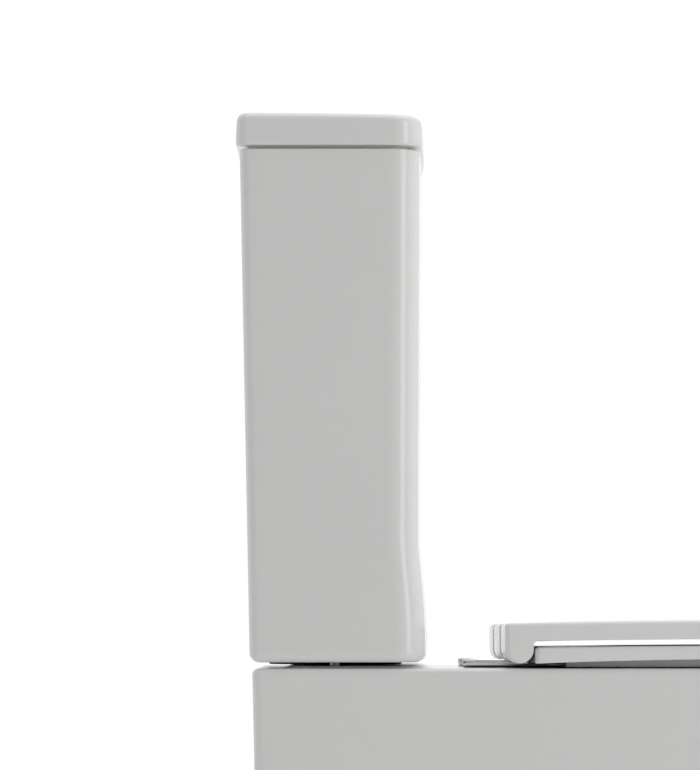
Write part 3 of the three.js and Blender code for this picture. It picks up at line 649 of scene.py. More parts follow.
def satin_steel(finish):
    """Drawn stainless steel with lengthwise marks."""
    material, nodes, links, principled = shader("satin_steel", 0.3, 1.0)
    lines = noise_of(nodes, links, 900.0, 2.0, (1, 1, 0.08))
    tint(nodes, links, lines.outputs["Fac"], finish.steel, 0.12, principled.inputs["Base Color"])
    vary(nodes, links, lines.outputs["Fac"], 0.22, 0.42, principled.inputs["Roughness"])
    relief(nodes, links, lines.outputs["Fac"], 0.00003, principled, 0.5)
    return material


def rubber(name, colour, roughness):
    """Moulded rubber with a bloom of fine dust and a grain."""
    material, nodes, links, principled = shader(name, roughness)
    bloom = noise_of(nodes, links, 90.0, 4.0)
    grain = noise_of(nodes, links, 1500.0, 2.0)
    tint(nodes, links, bloom.outputs["Fac"], colour, 0.25, principled.inputs["Base Color"])
    vary(nodes, links, bloom.outputs["Fac"], roughness - 0.1, roughness + 0.1, principled.inputs["Roughness"])
    relief(nodes, links, grain.outputs["Fac"], 0.00004, principled, 0.6)
    return material


def soft_vinyl(finish):
    """Milky buffers, which let a little light in."""
    material, nodes, links, principled = shader("soft_vinyl", 0.35, Subsurface_Weight=0.3,
                                                Subsurface_Scale=0.004)
    cloud = noise_of(nodes, links, 200.0, 3.0)
    milky = [c * 0.92 for c in finish.seat]
    tint(nodes, links, cloud.outputs["Fac"], milky, 0.04, principled.inputs["Base Color"])
    vary(nodes, links, cloud.outputs["Fac"], 0.28, 0.42, principled.inputs["Roughness"])
    relief(nodes, links, cloud.outputs["Fac"], 0.00003, principled, 0.4)
    return material


def plastic(name, colour, roughness):
    """Injection moulded plastic with flow drift and a fine spark-eroded grain."""
    material, nodes, links, principled = shader(name, roughness, IOR=1.49)
    flow = noise_of(nodes, links, 30.0, 3.0)
    grain = noise_of(nodes, links, 1200.0, 2.0)
    tint(nodes, links, flow.outputs["Fac"], colour, 0.04, principled.inputs["Base Color"])
    dull, bright = roughness + 0.07, roughness - 0.07
    vary(nodes, links, flow.outputs["Fac"], bright, dull, principled.inputs["Roughness"])
    relief(nodes, links, grain.outputs["Fac"], 0.00003, principled, 0.5)
    return material


FINISHES = {}


def make_finishes(finish):
    FINISHES.update({
        "china": glazed_china(finish),
        "thin": thin_glaze(finish),
        "seat": moulded_seat(finish),
        "chrome": chrome_plate(finish),
        "steel": satin_steel(finish),
        "black": rubber("black_rubber", finish.black, 0.7),
        "vinyl": soft_vinyl(finish),
        "white": plastic("white_plastic", finish.white, 0.35),
        "grey": plastic("grey_plastic", finish.grey, 0.45),
        "blue": plastic("blue_plastic", finish.blue, 0.4),
    })


# ---- Pan ----------------------------------------------------------------------------------

PAN_SHAPE = {"foot_back": 23.0, "foot_nose": 600.0, "foot_half": 175.0, "shoulder": 400.0, "corner": 8.0}
DECK_THICKNESS, BOWL_WALL = 12.0, 10.0
PLATFORM = {"back": 38, "front": 164, "half": 168, "back_corner": 12, "front_corner": 24, "bow": 4}
PLATFORM_RISE = 2.0
PLATFORM_LEVELS = (   # inset from the platform's outline, height above the deck
    (0.0, -3.0), (0.0, 0.0), (1.2, 0.35), (3.4, 1.0), (5.6, 1.65), (7.0, PLATFORM_RISE), (8.6, PLATFORM_RISE),
)
BOWL_CENTRE = 455.0
BOWL_STATIONS = (     # drop below the deck, centre, half length, half width
    (6.0, 455.0, 141.0, 113.0), (60.0, 452.0, 137.0, 110.0), (120.0, 445.0, 120.0, 98.0),
    (170.0, 432.0, 93.0, 80.0), (212.0, 415.0, 68.0, 62.0), (250.0, 402.0, 50.0, 46.0),
    (285.0, 396.0, 40.0, 38.0), (303.0, 394.0, 33.0, 32.0), (310.0, 394.0, 24.0, 24.0),
)
BOWL_ROWS = 40
WATERWAY = (          # the trap's middle line, from the bowl to the outlet
    (404, 124), (368, 112), (330, 116), (292, 150), (262, 200), (228, 226), (190, 212), (152, 186),
    (100, 180),
)
FLUSHWAY = ((80, 374), (102, 360), (150, 352), (220, 352), (300, 356), (330, 356))
OUTLET_Z = 180.0
TRAP_RADIUS, TRAP_BORE = 40, 30
SPIGOT_RADIUS, SPIGOT_BORE, SPIGOT_END = 51, 44, 30
FLUSH_RADIUS, FLUSH_BORE = 30, 21


def pan_outline(z, deck, inset=0.0):
    t = z / deck
    back = PAN_LOW.x / MM - WALL
    nose = PAN_HIGH.x / MM - WALL
    half = PAN_HIGH.y / MM
    return nose_outline(
        PAN_SHAPE["foot_back"] + (back - PAN_SHAPE["foot_back"]) * t,
        PAN_SHAPE["foot_nose"] + (nose - PAN_SHAPE["foot_nose"]) * t ** 1.5,
        PAN_SHAPE["foot_half"] + (half - PAN_SHAPE["foot_half"]) * t,
        PAN_SHAPE["shoulder"], PAN_SHAPE["corner"], inset)


def pan_rings(deck, wall, fillet, lip):
    """Rings from the bowl's foot up its outside, down inside the skirt, up the skirt, across the
    deck and down the bowl. Also how many of them are hidden from sight."""
    directions = [math.atan2(y, d - BOWL_CENTRE) for d, y in pan_outline(deck, deck)]

    def oval(z, centre, a, b):
        ring = []
        for angle in directions:
            reach = 1 / math.hypot(math.cos(angle) / a, math.sin(angle) / b)
            ring.append((from_wall(centre + reach * math.cos(angle)), reach * math.sin(angle), z))
        return ring

    def bowl_at(t, grow):
        drop, centre, a, b = spline(BOWL_STATIONS, t)
        return deck - drop - (grow if t > 0.9 else grow * 0.3), centre, a + grow, b + grow

    rings = []
    under = deck - DECK_THICKNESS
    for i in range(30, 0, -1):
        z, centre, a, b = bowl_at(i / 30, BOWL_WALL)
        rings.append(oval(min(z, under - 2), centre, a, b))
    _, centre, a, b = bowl_at(0.0, BOWL_WALL)
    rings.append(oval(under, centre, a + 4, b + 4))
    rings.append(level(pan_outline(under, deck, wall), under))
    for z in (under - 6, 330, 250, 170, 90, 4):
        rings.append(level(pan_outline(z, deck, wall), z))
    rings.append(level(pan_outline(0, deck, wall - 1), 1.0))
    rings.append(level(pan_outline(0, deck, wall - 2.2), 0.0))
    inside = len(rings)
    rings.append(level(pan_outline(0, deck, 2.2), 0.0))
    rings.append(level(pan_outline(0, deck, 0.7), 0.7))
    for z in (2.2, 5, 40, 90, 140, 190, 240, 290, 340, 375, deck - fillet - 2):
        rings.append(level(pan_outline(z, deck), z))
    for inset, drop in quarter(fillet, 0, 90, 8):
        rings.append(level(pan_outline(deck, deck, inset), deck - drop))
    _, lip_centre, lip_a, lip_b = bowl_at(0.0, 0.0)
    edge = pan_outline(deck, deck, fillet)
    rim = oval(deck, lip_centre, lip_a + lip, lip_b + lip)
    for t in (0.02, 0.3, 0.6, 0.9):
        rings.append([(from_wall(d) + (x - from_wall(d)) * t, y + (v - y) * t, deck)
                      for (d, y), (x, v, _) in zip(edge, rim)])
    for drop, grow in quarter(lip, 0, 90, 8):
        rings.append(oval(deck - drop, lip_centre, lip_a + grow, lip_b + grow))
    for i in range(2, BOWL_ROWS + 1):
        drop, centre, a, b = spline(BOWL_STATIONS, i / BOWL_ROWS)
        rings.append(oval(deck - drop, centre, a, b))
    return rings, inside


def spigot(name, radius, start, end, edge):
    """A bar along the outlet's axis between two distances from the wall."""
    x0, x1 = from_wall(start), from_wall(end)
    centre = ((x0 + x1) / 2, 0, OUTLET_Z)
    return cross_bar(name, radius, centre, (1, 0, 0), x1 - x0, FINISHES["thin"], 64, edge)


def bowl_void(deck, grow):
    """The bowl's inside, grown all round, which the trap's wall stops at."""
    rings = []
    for i in range(2, BOWL_ROWS):
        drop, centre, a, b = spline(BOWL_STATIONS, i / BOWL_ROWS)
        rings.append([(from_wall(centre + (a + grow) * math.cos(t)), (b + grow) * math.sin(t), deck - drop)
                      for t in circle(72)])
    return loft("bowl_void", rings, [FINISHES["thin"]])


def make_pan(sizes):
    china, thin = FINISHES["china"], FINISHES["thin"]
    deck = sizes.deck / MM
    rings, foot = pan_rings(deck, sizes.wall / MM, sizes.fillet / MM, sizes.lip / MM)
    body = loft("pan_body", rings, [thin, china], inside_from=foot)
    valve, fill = middle("flush_valve_body"), middle("fill_valve_nut")
    join(body, loft("platform", [level(bowed_outline(inset=inset, **PLATFORM), deck + rise)
                                 for inset, rise in PLATFORM_LEVELS], [china]))
    cut(body, doorway(95, 262, 20))
    trap = tube_along("trap", TRAP_RADIUS, WATERWAY, thin)
    join(trap, spigot("spigot", SPIGOT_RADIUS, SPIGOT_END, 175, 1.5))
    join(body, cut(trap, bowl_void(deck, 4)))
    flush = tube_along("flush_horn", FLUSH_RADIUS, FLUSHWAY[:-1] + ((311.5, 356),), thin)
    well = [(0, 364), (52, 364), (52, deck - 8), (0, deck - 8)]
    join(body, join(flush, turned("well", well, thin, 64, valve.x, 0, 4)))
    well_bore = [(0, 373), (43, 373), (43, deck + 10), (0, deck + 10)]
    cut(body, tube_along("trap_bore", TRAP_BORE, ((425, 128),) + WATERWAY, china),
        spigot("spigot_bore", SPIGOT_BORE, SPIGOT_END - 5, 160, 0.8),
        tube_along("flush_bore", FLUSH_BORE, FLUSHWAY, thin),
        turned("well_bore", well_bore, thin, 64, valve.x, 0, 3))

    def deck_hole(name, radius, at, sides=32):
        return bar(name, radius, deck - 20, deck + 10, thin, at.x, at.y, 0, sides)

    cut(body, deck_hole("inlet_hole", 24, fill, 40))
    for label, _ in SIDES:
        screw = middle(f"side_screw_{label}")
        cut(body, deck_hole("bolt_hole", 5.5, middle(f"cistern_bolt_{label}")),
            deck_hole("stud_hole", 6, middle(f"hinge_stud_{label}")),
            cross_bar("side_hole", 6.2, (screw.x, math.copysign(170, screw.y), screw.z), (0, 1, 0), 40, thin))
    piece(body, "pan")


def doorway(half, top, corner):
    """The opening at the foot of the back, with round upper corners."""
    outline = [(-half, -5), (half, -5)]
    for start, centre in ((0, half - corner), (90, corner - half)):
        outline += [(centre + corner * math.cos(a), top - corner + corner * math.sin(a))
                    for a in arc(start, start + 90, 8)]
    return lay(prism("doorway", outline, from_wall(0), from_wall(40), FINISHES["thin"], 0), ALONG_X)


# ---- Cistern and lid ----------------------------------------------------------------------

TANK_WAIST, FLARE_HEIGHT = 503.0, 80.0       # the front swells out below the waist
TANK_FRONT, TANK_LEAN = 151.3, 1.4
TANK_BACK_LOW, TANK_BACK_HIGH = 11.7, 3.0
TANK_EDGE, TANK_FLOOR, TANK_CORNER = 8.0, 415.0, 12.0


def tank_outline(z, sizes, inset=0.0):
    bottom, top = TANK_LOW.z / MM, TANK_HIGH.z / MM
    half = TANK_HIGH.y / MM
    t = (z - bottom) / (top - bottom)
    swell = min(max((TANK_WAIST - z) / FLARE_HEIGHT, 0.0), 1.0)
    lean = max(0.0, (z - TANK_WAIST) / (top - TANK_WAIST))
    flare = sizes.flare / MM * math.sin(swell * math.pi / 2) ** 1.3
    front = TANK_FRONT + TANK_LEAN * lean + flare
    back = TANK_BACK_LOW + (TANK_BACK_HIGH - TANK_BACK_LOW) * t
    return bowed_outline(back, front, half, 9, 24, sizes.bow / MM, inset)


def make_cistern(sizes):
    china, thin = FINISHES["china"], FINISHES["thin"]
    bottom, top = TANK_LOW.z / MM, TANK_HIGH.z / MM
    wall = sizes.wall / MM

    def ring(z, inset=0.0, height=None):
        return level(tank_outline(z, sizes, inset), z if height is None else height)

    rings = [ring(bottom, TANK_EDGE + 6)]
    rings += [ring(bottom + rise, inset) for inset, rise in quarter(TANK_EDGE, 90, 0, 10)]
    rings += [ring(bottom + TANK_EDGE + 4 * i) for i in range(1, 24)]
    rings += [ring(z) for z in (540, 600, 660, 720, 780, top - 2)]
    rings += [ring(top, inset, top - drop) for inset, drop in quarter(wall / 2, 0, 180, 12, 1.0)]
    inside = len(rings)
    low_ring = TANK_FLOOR + TANK_CORNER + 2
    rings += [ring(z, wall) for z in (780, 700, 600, 540, TANK_WAIST, 490, 475, 460, 445, low_ring)]
    rings += [ring(TANK_FLOOR + rise, wall + inset) for inset, rise in quarter(TANK_CORNER, 0, 90, 8)]
    body = loft("cistern_body", rings, [china, thin], inside_from=inside)

    def floor_hole(name, radius, at, sides=32):
        return bar(name, radius, TANK_FLOOR - 20, TANK_FLOOR + 10, thin, at.x, at.y, 0, sides)

    tools = [floor_hole("valve_hole", 31.5, Vector((middle("flush_valve_body").x, 0, 0)), 64)]
    tools.append(floor_hole("inlet_hole", 11, middle("fill_valve_nut")))
    tools += [floor_hole("bolt_hole", 5.5, middle(f"cistern_bolt_{label}")) for label, _ in SIDES]
    cut(body, *tools)
    piece(body, "cistern")


LID_LIP, LID_TOP, LID_FALL = 821.5, 848.0, 2.0
LID_ROOF = 11.5                              # thickness of the lid's top


def lid_ring(z, inset):
    """A ring round the lid, whose upper part falls a little towards the front."""
    front, half = LID_HIGH.x / MM - WALL, LID_HIGH.y / MM
    share = min(max((z - LID_LIP - 10) / (LID_TOP - LID_LIP - 10), 0.0), 1.0)
    outline = bowed_outline(0, front, half, 10, 25, 5.3, inset)
    return level(outline, lambda d: z - LID_FALL * share * (d / front) ** 2)


def make_lid(sizes):
    china, thin = FINISHES["china"], FINISHES["thin"]
    edge = sizes.lid_edge / MM
    ceiling, skirt_low, rest = LID_TOP - LID_ROOF, LID_LOW.z / MM, TANK_HIGH.z / MM + 0.3
    hidden = (        # height and inset, from the ceiling down the skirt and out to the lip
        (ceiling, 60), (ceiling, 25), (ceiling, 20), (ceiling - 2, 17.6),
        (skirt_low + 1.2, 17), (skirt_low, 16), (skirt_low, 13.6), (skirt_low + 1, 12.6),
        (rest - 0.6, 12.5), (rest, 12.2), (rest, 10.7), (rest + 0.4, 10.4),
        (LID_LIP - 0.3, 10.4), (LID_LIP, 10.0),
    )
    shown = [(LID_LIP, 1.6), (LID_LIP + 0.5, 0.55), (LID_LIP + 1.6, 0.05)]
    shown += [(LID_LIP + rise, 0.6 * max(0.0, rise - 8) / 12) for rise in (3, 8, 13, 18)]
    shown += [(LID_TOP - drop, 0.6 + inset) for inset, drop in quarter(edge, 4, 90, 14)]
    shown += [(LID_TOP, edge + 6), (LID_TOP, edge + 20), (LID_TOP, 60)]
    rings = [lid_ring(z, inset) for z, inset in (*hidden, *shown)]
    body = loft("lid_body", rings, [thin, china], inside_from=len(hidden) - 1)
    button = middle("button_bezel")
    recess = [(0, LID_TOP - 1.2), (29, LID_TOP - 1.2), (29, LID_TOP + 5), (0, LID_TOP + 5)]
    cut(body, bar("button_hole", 24, 805, LID_TOP + 5, thin, button.x, 0, 0, 64),
        turned("button_seat", recess, china, 64, button.x, 0, 0.4))
    piece(body, "cistern_lid")


# ---- Seat ---------------------------------------------------------------------------------

def easing(base, rise, start, run):
    return lambda d: base + rise * (1 - math.exp(-max(0.0, d - start) / run))


SEAT_NOSE_STEPS = (44, 10, 8, 22)
RING_OUTER = {"back": 240.7, "half": 182.5, "shoulder": 400.0, "corner": 5.0, "steps": SEAT_NOSE_STEPS}
RING_HOLE = {"back": 318.0, "nose": 592.0, "half": 107.0, "shoulder": 440.0, "corner": 96.0,
             "steps": SEAT_NOSE_STEPS}
RING_BOTTOM = easing(403.8, 5.0, 240.7, 112.0)
RING_TOP = easing(416.9, 2.0, 240.7, 112.0)
RIB_LOW, RIB_OUT, RIB_IN = 401.2, 26, 31     # the stiffening rib's foot and its insets
COVER_BOTTOM = easing(421.2, 3.0, 216.5, 120.0)
COVER_TOP = easing(436.0, 4.0, 216.5, 180.0)
PLATE_WIDTH, POST, PIN_RADIUS = 26.0, 14.0, 4.0
PLATE_STEP, PLATE_TOP, TONGUE_TOP = 240, 407.0, 403.2
LOWER_EDGE = {"ring": 1.5, "cover": 1.2}
HOLE_EDGE, HOLE_DEPTH = 7, 4                 # width and height of the rounding round the ring's hole


def make_ring(sizes):
    seat = FINISHES["seat"]
    nose = RING_HIGH.x / MM - WALL
    edge, low = sizes.ring_edge / MM, LOWER_EDGE["ring"]

    def outer(inset, height=None):
        outline = nose_outline(nose=nose, inset=inset, **RING_OUTER)
        return outline if height is None else level(outline, height)

    def inner(inset, height=None):
        outline = nose_outline(inset=inset, **RING_HOLE)
        return outline if height is None else level(outline, height)

    rings = [outer(inset, raised(RING_BOTTOM, rise)) for inset, rise in quarter(low, 90, 0, 5)]
    rings += [outer(inset, raised(RING_TOP, -drop)) for inset, drop in quarter(edge, 0, 90, 8)]
    start, finish = outer(edge), inner(-HOLE_EDGE)
    for t in (0.15, 0.35, 0.55, 0.75, 0.9):
        sink = 0.9 * math.sin(t * math.pi) ** 2
        rings.append(level(mix_points(start, finish, t), raised(RING_TOP, -sink)))
    rings += [inner(inset, raised(RING_TOP, -drop))
              for inset, drop in quarter(-HOLE_EDGE, 90, 0, 8, HOLE_DEPTH)]
    rings += [inner(inset, raised(RING_BOTTOM, rise)) for inset, rise in quarter(-low, 0, 90, 5, low)]
    under, rim = inner(-low), outer(low)
    rings += [level(mix_points(under, rim, t), RING_BOTTOM) for t in (0.25, 0.5, 0.75)]
    body = loft("ring_body", rings, [seat], hoop=True, smooth=50)
    rib = [outer(RIB_OUT + 0.6, RIB_LOW), outer(RIB_OUT + 0.2, RIB_LOW + 0.1), outer(RIB_OUT, RIB_LOW + 0.5),
           outer(RIB_OUT, raised(RING_BOTTOM, 2)), outer(RIB_IN, raised(RING_BOTTOM, 2)),
           outer(RIB_IN, RIB_LOW + 0.5), outer(RIB_IN - 0.2, RIB_LOW + 0.1), outer(RIB_IN - 0.6, RIB_LOW)]
    join(body, loft("stiffening_rib", rib, [seat], hoop=True))
    for _, side in SIDES:
        fit_ring_lugs(body, side * middle("hinge_plate_left").y)
    piece(body, "seat_ring")


def fit_ring_lugs(body, y):
    """Clears the ring for one hinge plate and gives it a lug on each side of the post."""
    seat = FINISHES["seat"]
    back, half = from_wall(RING_OUTER["back"]), PLATE_WIDTH / 2
    room_low = (back - 8, y - half - 2, 395)
    room_high = (from_wall(283), y + half + 2, TONGUE_TOP + 1.2)
    cut(body, box("clearance", room_low, room_high, seat, 1.0))
    for end in (1, -1):
        lug_y = y + end * (POST / 2 + 5.5)
        lug = cross_bar("lug", 7.4, (HINGE.x, lug_y, HINGE.z), (0, 1, 0), 10, seat, 48, 0.8)
        arm_low, arm_high = (HINGE.x, lug_y - 4.9, HINGE.z - 6.4), (back + 6, lug_y + 4.9, HINGE.z + 2)
        join(body, join(lug, box("arm", arm_low, arm_high, seat, 0.8)))
    cut(body, cross_bar("bore", PIN_RADIUS + 0.3, (HINGE.x, y, HINGE.z), (0, 1, 0), 40, seat))


COVER_SHOULDER, COVER_CORNER = 400.0, 5.0
COVER_STEPS = {"nose": 44, "side": 12, "end": 4, "corner": 8, "back": 22}


def cover_behind(back, line, half, corner):
    """The outline behind a line across the cover: along its side, round the corner, across the back."""
    start = back + corner
    points = [(line + (start - line) * i / COVER_STEPS["end"], half) for i in range(COVER_STEPS["end"])]
    points += [(start + corner * math.cos(a), half - corner * (1 - math.sin(a)))
               for a in arc(90, 180, COVER_STEPS["corner"])]
    return points + [(back, (half - corner) * (1 - i / COVER_STEPS["back"]))
                     for i in range(1, COVER_STEPS["back"] + 1)]


def mirrored(points):
    return points + [(x, -y, *rest) for x, y, *rest in points[-2:0:-1]]


def cover_rings(sizes):
    """Rings from the barrel's lowest line up its round back, out along the underside, up the edge
    and over the top."""
    nose, half = COVER_HIGH.x / MM - WALL, COVER_HIGH.y / MM
    radius, edge, low = sizes.barrel / MM, sizes.cover_edge / MM, LOWER_EDGE["cover"]
    axis = HINGE.x - WALL
    back, fillet = axis - radius, 3.0
    line = axis + radius + fillet
    ahead_count = COVER_STEPS["nose"] + COVER_STEPS["side"]

    def ahead(inset, to):
        length, width = nose - inset - COVER_SHOULDER, half - inset
        points = []
        for i in range(COVER_STEPS["nose"] + 1):
            t = i / COVER_STEPS["nose"] * math.pi / 2
            reach = 0.0 if i == COVER_STEPS["nose"] else length * math.cos(t) ** (2 / 2.3)
            points.append((COVER_SHOULDER + reach, width * math.sin(t) ** (2 / 2.3)))
        return points + [(COVER_SHOULDER + (to - COVER_SHOULDER) * i / COVER_STEPS["side"], width)
                         for i in range(1, COVER_STEPS["side"])]

    def ring(front_points, front_height, behind_points, behind_height):
        def height_at(height, d):
            return height(d) if callable(height) else height
        points = [(from_wall(d), y, height_at(front_height, d)) for d, y in front_points]
        points += [(from_wall(d), y, height_at(behind_height, d)) for d, y in behind_points]
        return mirrored(points)

    rings = []
    for angle in arc(6, 90, 12):
        width = radius * math.sin(angle)
        row_half = half - COVER_CORNER * 0.6 * (1 - math.sin(angle))
        z = HINGE.z - radius * math.cos(angle)
        across = [(axis + width, row_half * i / ahead_count) for i in range(ahead_count)]
        rings.append(ring(across, z, cover_behind(axis - width, axis + width, row_half,
                                                  min(COVER_CORNER, width * 0.9)), z))
    under = COVER_BOTTOM(line)
    for out, drop in quarter(fillet, 0, 90, 5):
        z = under - drop
        across = [(axis + radius + out, half * i / ahead_count) for i in range(ahead_count)]
        rings.append(ring(across, z, cover_behind(back, axis + radius + out, half, COVER_CORNER), z))
    behind_low = cover_behind(back, line, half, COVER_CORNER)
    target = ahead(low, line)
    behind_z = under
    for t in (0.06, 0.2, 0.4, 0.6, 0.8, 0.93, 1.0):
        behind_z += 0.1
        rings.append(ring(mix_points(across, target, t), COVER_BOTTOM, behind_low, behind_z))
    for inset, rise in quarter(low, 70, 0, 4):
        behind_z += 0.1
        rings.append(ring(ahead(inset, line), raised(COVER_BOTTOM, rise), behind_low, behind_z))
    for inset, drop in quarter(edge, 0, 90, 8):
        rings.append(top_ring(ring, ahead, back, line, half, inset, drop, 0.0))
    for inset in (8, 20, 45, 80, 120, 160):
        crown = 1.2 * (1 - math.exp(-(inset - 3) / 60))
        rings.append(top_ring(ring, ahead, back, line, half, inset, 0.0, crown))
    return rings


def top_ring(ring, ahead, back, line, half, inset, drop, crown):
    corner = max(COVER_CORNER - inset, 0.8)
    line = max(line, back + inset + corner + 4)
    return ring(ahead(inset, line), lambda d: COVER_TOP(d) - drop + crown,
                cover_behind(back + inset, line, half - inset, corner), lambda d: COVER_TOP(d) - drop + crown)


POCKET_WALL, POCKET_ROOF, POCKET_HALF = 8.2, 8.8, 18.5


def make_cover(sizes):
    seat = FINISHES["seat"]
    body = loft("cover_body", cover_rings(sizes), [seat], smooth=50)
    x, z = HINGE.x, HINGE.z
    for label, _ in SIDES:
        y = middle(f"hinge_plate_{label}").y
        pocket_low, pocket_high = (x - POCKET_WALL, y - POCKET_HALF, z - 20), (x + 30, y + POCKET_HALF, z + 4)
        cut(body,
            box("pocket", pocket_low, pocket_high, seat, 0),
            cross_bar("pocket_roof", POCKET_ROOF, (x, y, z), (0, 1, 0), 2 * POCKET_HALF - 0.02, seat, 48, 0),
            box("notch", (x - 17, y - 15, z - 20), (x - 4, y + 15, 446), seat, 1.5, 4),
            cross_bar("bore", PIN_RADIUS + 0.3, (x, y, z), (0, 1, 0), 60, seat, 48, 0))
    piece(body, "seat_cover")


def make_buffers():
    vinyl = FINISHES["vinyl"]
    chamfers = {f"ring_buffer_{end}_{label}": 1.6 for end in ("rear", "front") for label, _ in SIDES}
    chamfers.update({f"cover_buffer_{label}": 1.2 for label, _ in SIDES})
    for node, chamfer in chamfers.items():
        low, high, centre = extent(node)
        radius = (high.x - low.x) / 2
        profile = [(0, low.z), (radius - 2, low.z), (radius, low.z + chamfer), (radius, high.z), (0, high.z)]
        piece(turned(node, profile, vinyl, 40, centre.x, centre.y, 0.7), node)


# ---- Hinges -------------------------------------------------------------------------------

def make_hinges():
    for label, _ in SIDES:
        stud = middle(f"hinge_stud_{label}")
        make_hinge_plate(f"hinge_plate_{label}", stud)
        make_hinge_gasket(f"hinge_gasket_{label}", stud)
        low, high, centre = extent(f"hinge_pin_{label}")
        radius, length = (high.z - low.z) / 2, high.y - low.y
        pin = cross_bar("pin", radius, centre, (0, 1, 0), length, FINISHES["steel"], 48, 0.6)
        piece(pin, f"hinge_pin_{label}")
        make_hinge_stud(f"hinge_stud_{label}")
        flat_washer(f"hinge_washer_{label}", stud, 0.8)
        piece(wing_nut(f"hinge_nut_{label}", 4), f"hinge_nut_{label}")


def make_hinge_plate(node, stud):
    """A plate with a round rear end, a thin tongue ahead of its step, and a post with its knuckle."""
    chrome = FINISHES["chrome"]
    low, high, _ = extent(node)
    y, half = (low.y + high.y) / 2, PLATE_WIDTH / 2
    step_x = from_wall(PLATE_STEP)
    plate = prism("plate", half_round(low.x, step_x, y, half), low.z, PLATE_TOP, chrome, 1.6, 5)
    tongue_low, tongue_high = (step_x - 4, y - half + 0.2, low.z), (high.x, y + half - 0.2, TONGUE_TOP)
    post_low, post_high = (HINGE.x - 7, y - POST / 2, PLATE_TOP - 2), (HINGE.x + 7, y + POST / 2, HINGE.z)
    join(plate, box("tongue", tongue_low, tongue_high, chrome, 0.6),
         box("post", post_low, post_high, chrome, 0),
         cross_bar("knuckle", 7, (HINGE.x, y, HINGE.z), (0, 1, 0), POST, chrome, 64, 0.8))
    cut(plate, cross_bar("bore", PIN_RADIUS + 0.1, (HINGE.x, y, HINGE.z), (0, 1, 0), POST + 4, chrome),
        bar("stud_bore", 4.2, 395, 415, chrome, stud.x, stud.y, 0),
        bar("head_recess", 5.8, PLATE_TOP - 1.9, 415, chrome, stud.x, stud.y, 0))
    piece(plate, node)


def make_hinge_gasket(node, stud):
    black = FINISHES["black"]
    low, high, _ = extent(node)
    half = (high.y - low.y) / 2
    outline = half_round(low.x, high.x, middle(node.replace("gasket", "plate")).y, half)
    gasket = prism("gasket", outline, low.z, high.z, black, 0.2, 2)
    cut(gasket, bar("stud_bore", 5, 395, 415, black, stud.x, stud.y, 0))
    piece(gasket, node)


def make_hinge_stud(node):
    """A stud with a low head, which a six-sided key turns."""
    steel = FINISHES["steel"]
    low, high, centre = extent(node)
    head = high.z - 1.6
    profile = [(0, low.z), (3.4, low.z), (4, low.z + 0.8), (4, head), (5.5, head), (4.6, high.z), (0, high.z)]
    shank = turned("stud", profile, steel, 40, centre.x, centre.y, 0.3)
    key = [(centre.x + 2.2 * math.cos(a), centre.y + 2.2 * math.sin(a)) for a in arc(0, 300, 5)]
    cut(shank, prism("key", key, head - 1.5, high.z + 1, steel, 0))
    piece(shank, node)


def flat_washer(node, at, edge):
    low, high, _ = extent(node)
    piece(washer("washer", 13, 4.6, low.z, high.z, FINISHES["black"], at.x, at.y, edge), node)


def wing_nut(node, bore):
    white = FINISHES["white"]
    low, high, centre = extent(node)
    span = (high.x - low.x) / 2
    profile = [(bore + 0.3, low.z), (bore + 5, low.z), (bore + 4.4, high.z), (bore + 0.3, high.z)]
    hub = turned("hub", profile, white, 40, centre.x, centre.y, 0.6)
    wing = [(bore + 2.5, low.z + 1), (span - 2, low.z + 1.5), (span, low.z + 4), (span, high.z - 2.5),
            (span - 2.5, high.z - 1), (bore + 2.5, high.z - 2)]
    for side in (1, -1):
        blade = prism("wing", [(side * a, b) for a, b in wing], -1.9, 1.9, white, 0)
        join(hub, edge_round(lay(blade, ALONG_Y, (centre.x, centre.y, 0)), 0.8))
    return hub


# ---- Cistern fixing -----------------------------------------------------------------------

def make_cistern_fixing():
    steel, black = FINISHES["steel"], FINISHES["black"]
    for label, _ in SIDES:
        node = f"cistern_bolt_{label}"
        low, high, at = extent(node)
        head = high.z - 4
        profile = [(0, low.z), (3.2, low.z), (4, low.z + 1), (4, head), (9, head), (9, head + 1.6),
                   (6, high.z), (0, high.z)]
        bolt = turned("bolt", profile, steel, 48, at.x, at.y, 0.4)
        slot_low, slot_high = (at.x - 12, at.y - 0.8, high.z - 1.8), (at.x + 12, at.y + 0.8, high.z + 2)
        cut(bolt, box("slot", slot_low, slot_high, steel, 0))
        piece(bolt, node)
        node = f"cistern_bolt_seal_{label}"
        low, high, _ = extent(node)
        cone = [(4.5, low.z), (13, low.z), (9, high.z), (4.5, high.z)]
        piece(turned("seal", cone, black, 48, at.x, at.y, 0.9), node)
        flat_washer(f"cistern_bolt_washer_{label}", at, 0.5)
        piece(wing_nut(f"cistern_bolt_nut_{label}", 4), f"cistern_bolt_nut_{label}")
    for node, inner in (("coupling_gasket", 40.0), ("flush_valve_washer", 30.5), ("fill_valve_washer", 9.5)):
        low, high, centre = extent(node)
        outer = (high.x - low.x) / 2
        piece(washer("seal", outer, inner, low.z, high.z, black, centre.x, centre.y, 0.9, 72), node)


# ---- Repeated features made by geometry nodes ---------------------------------------------

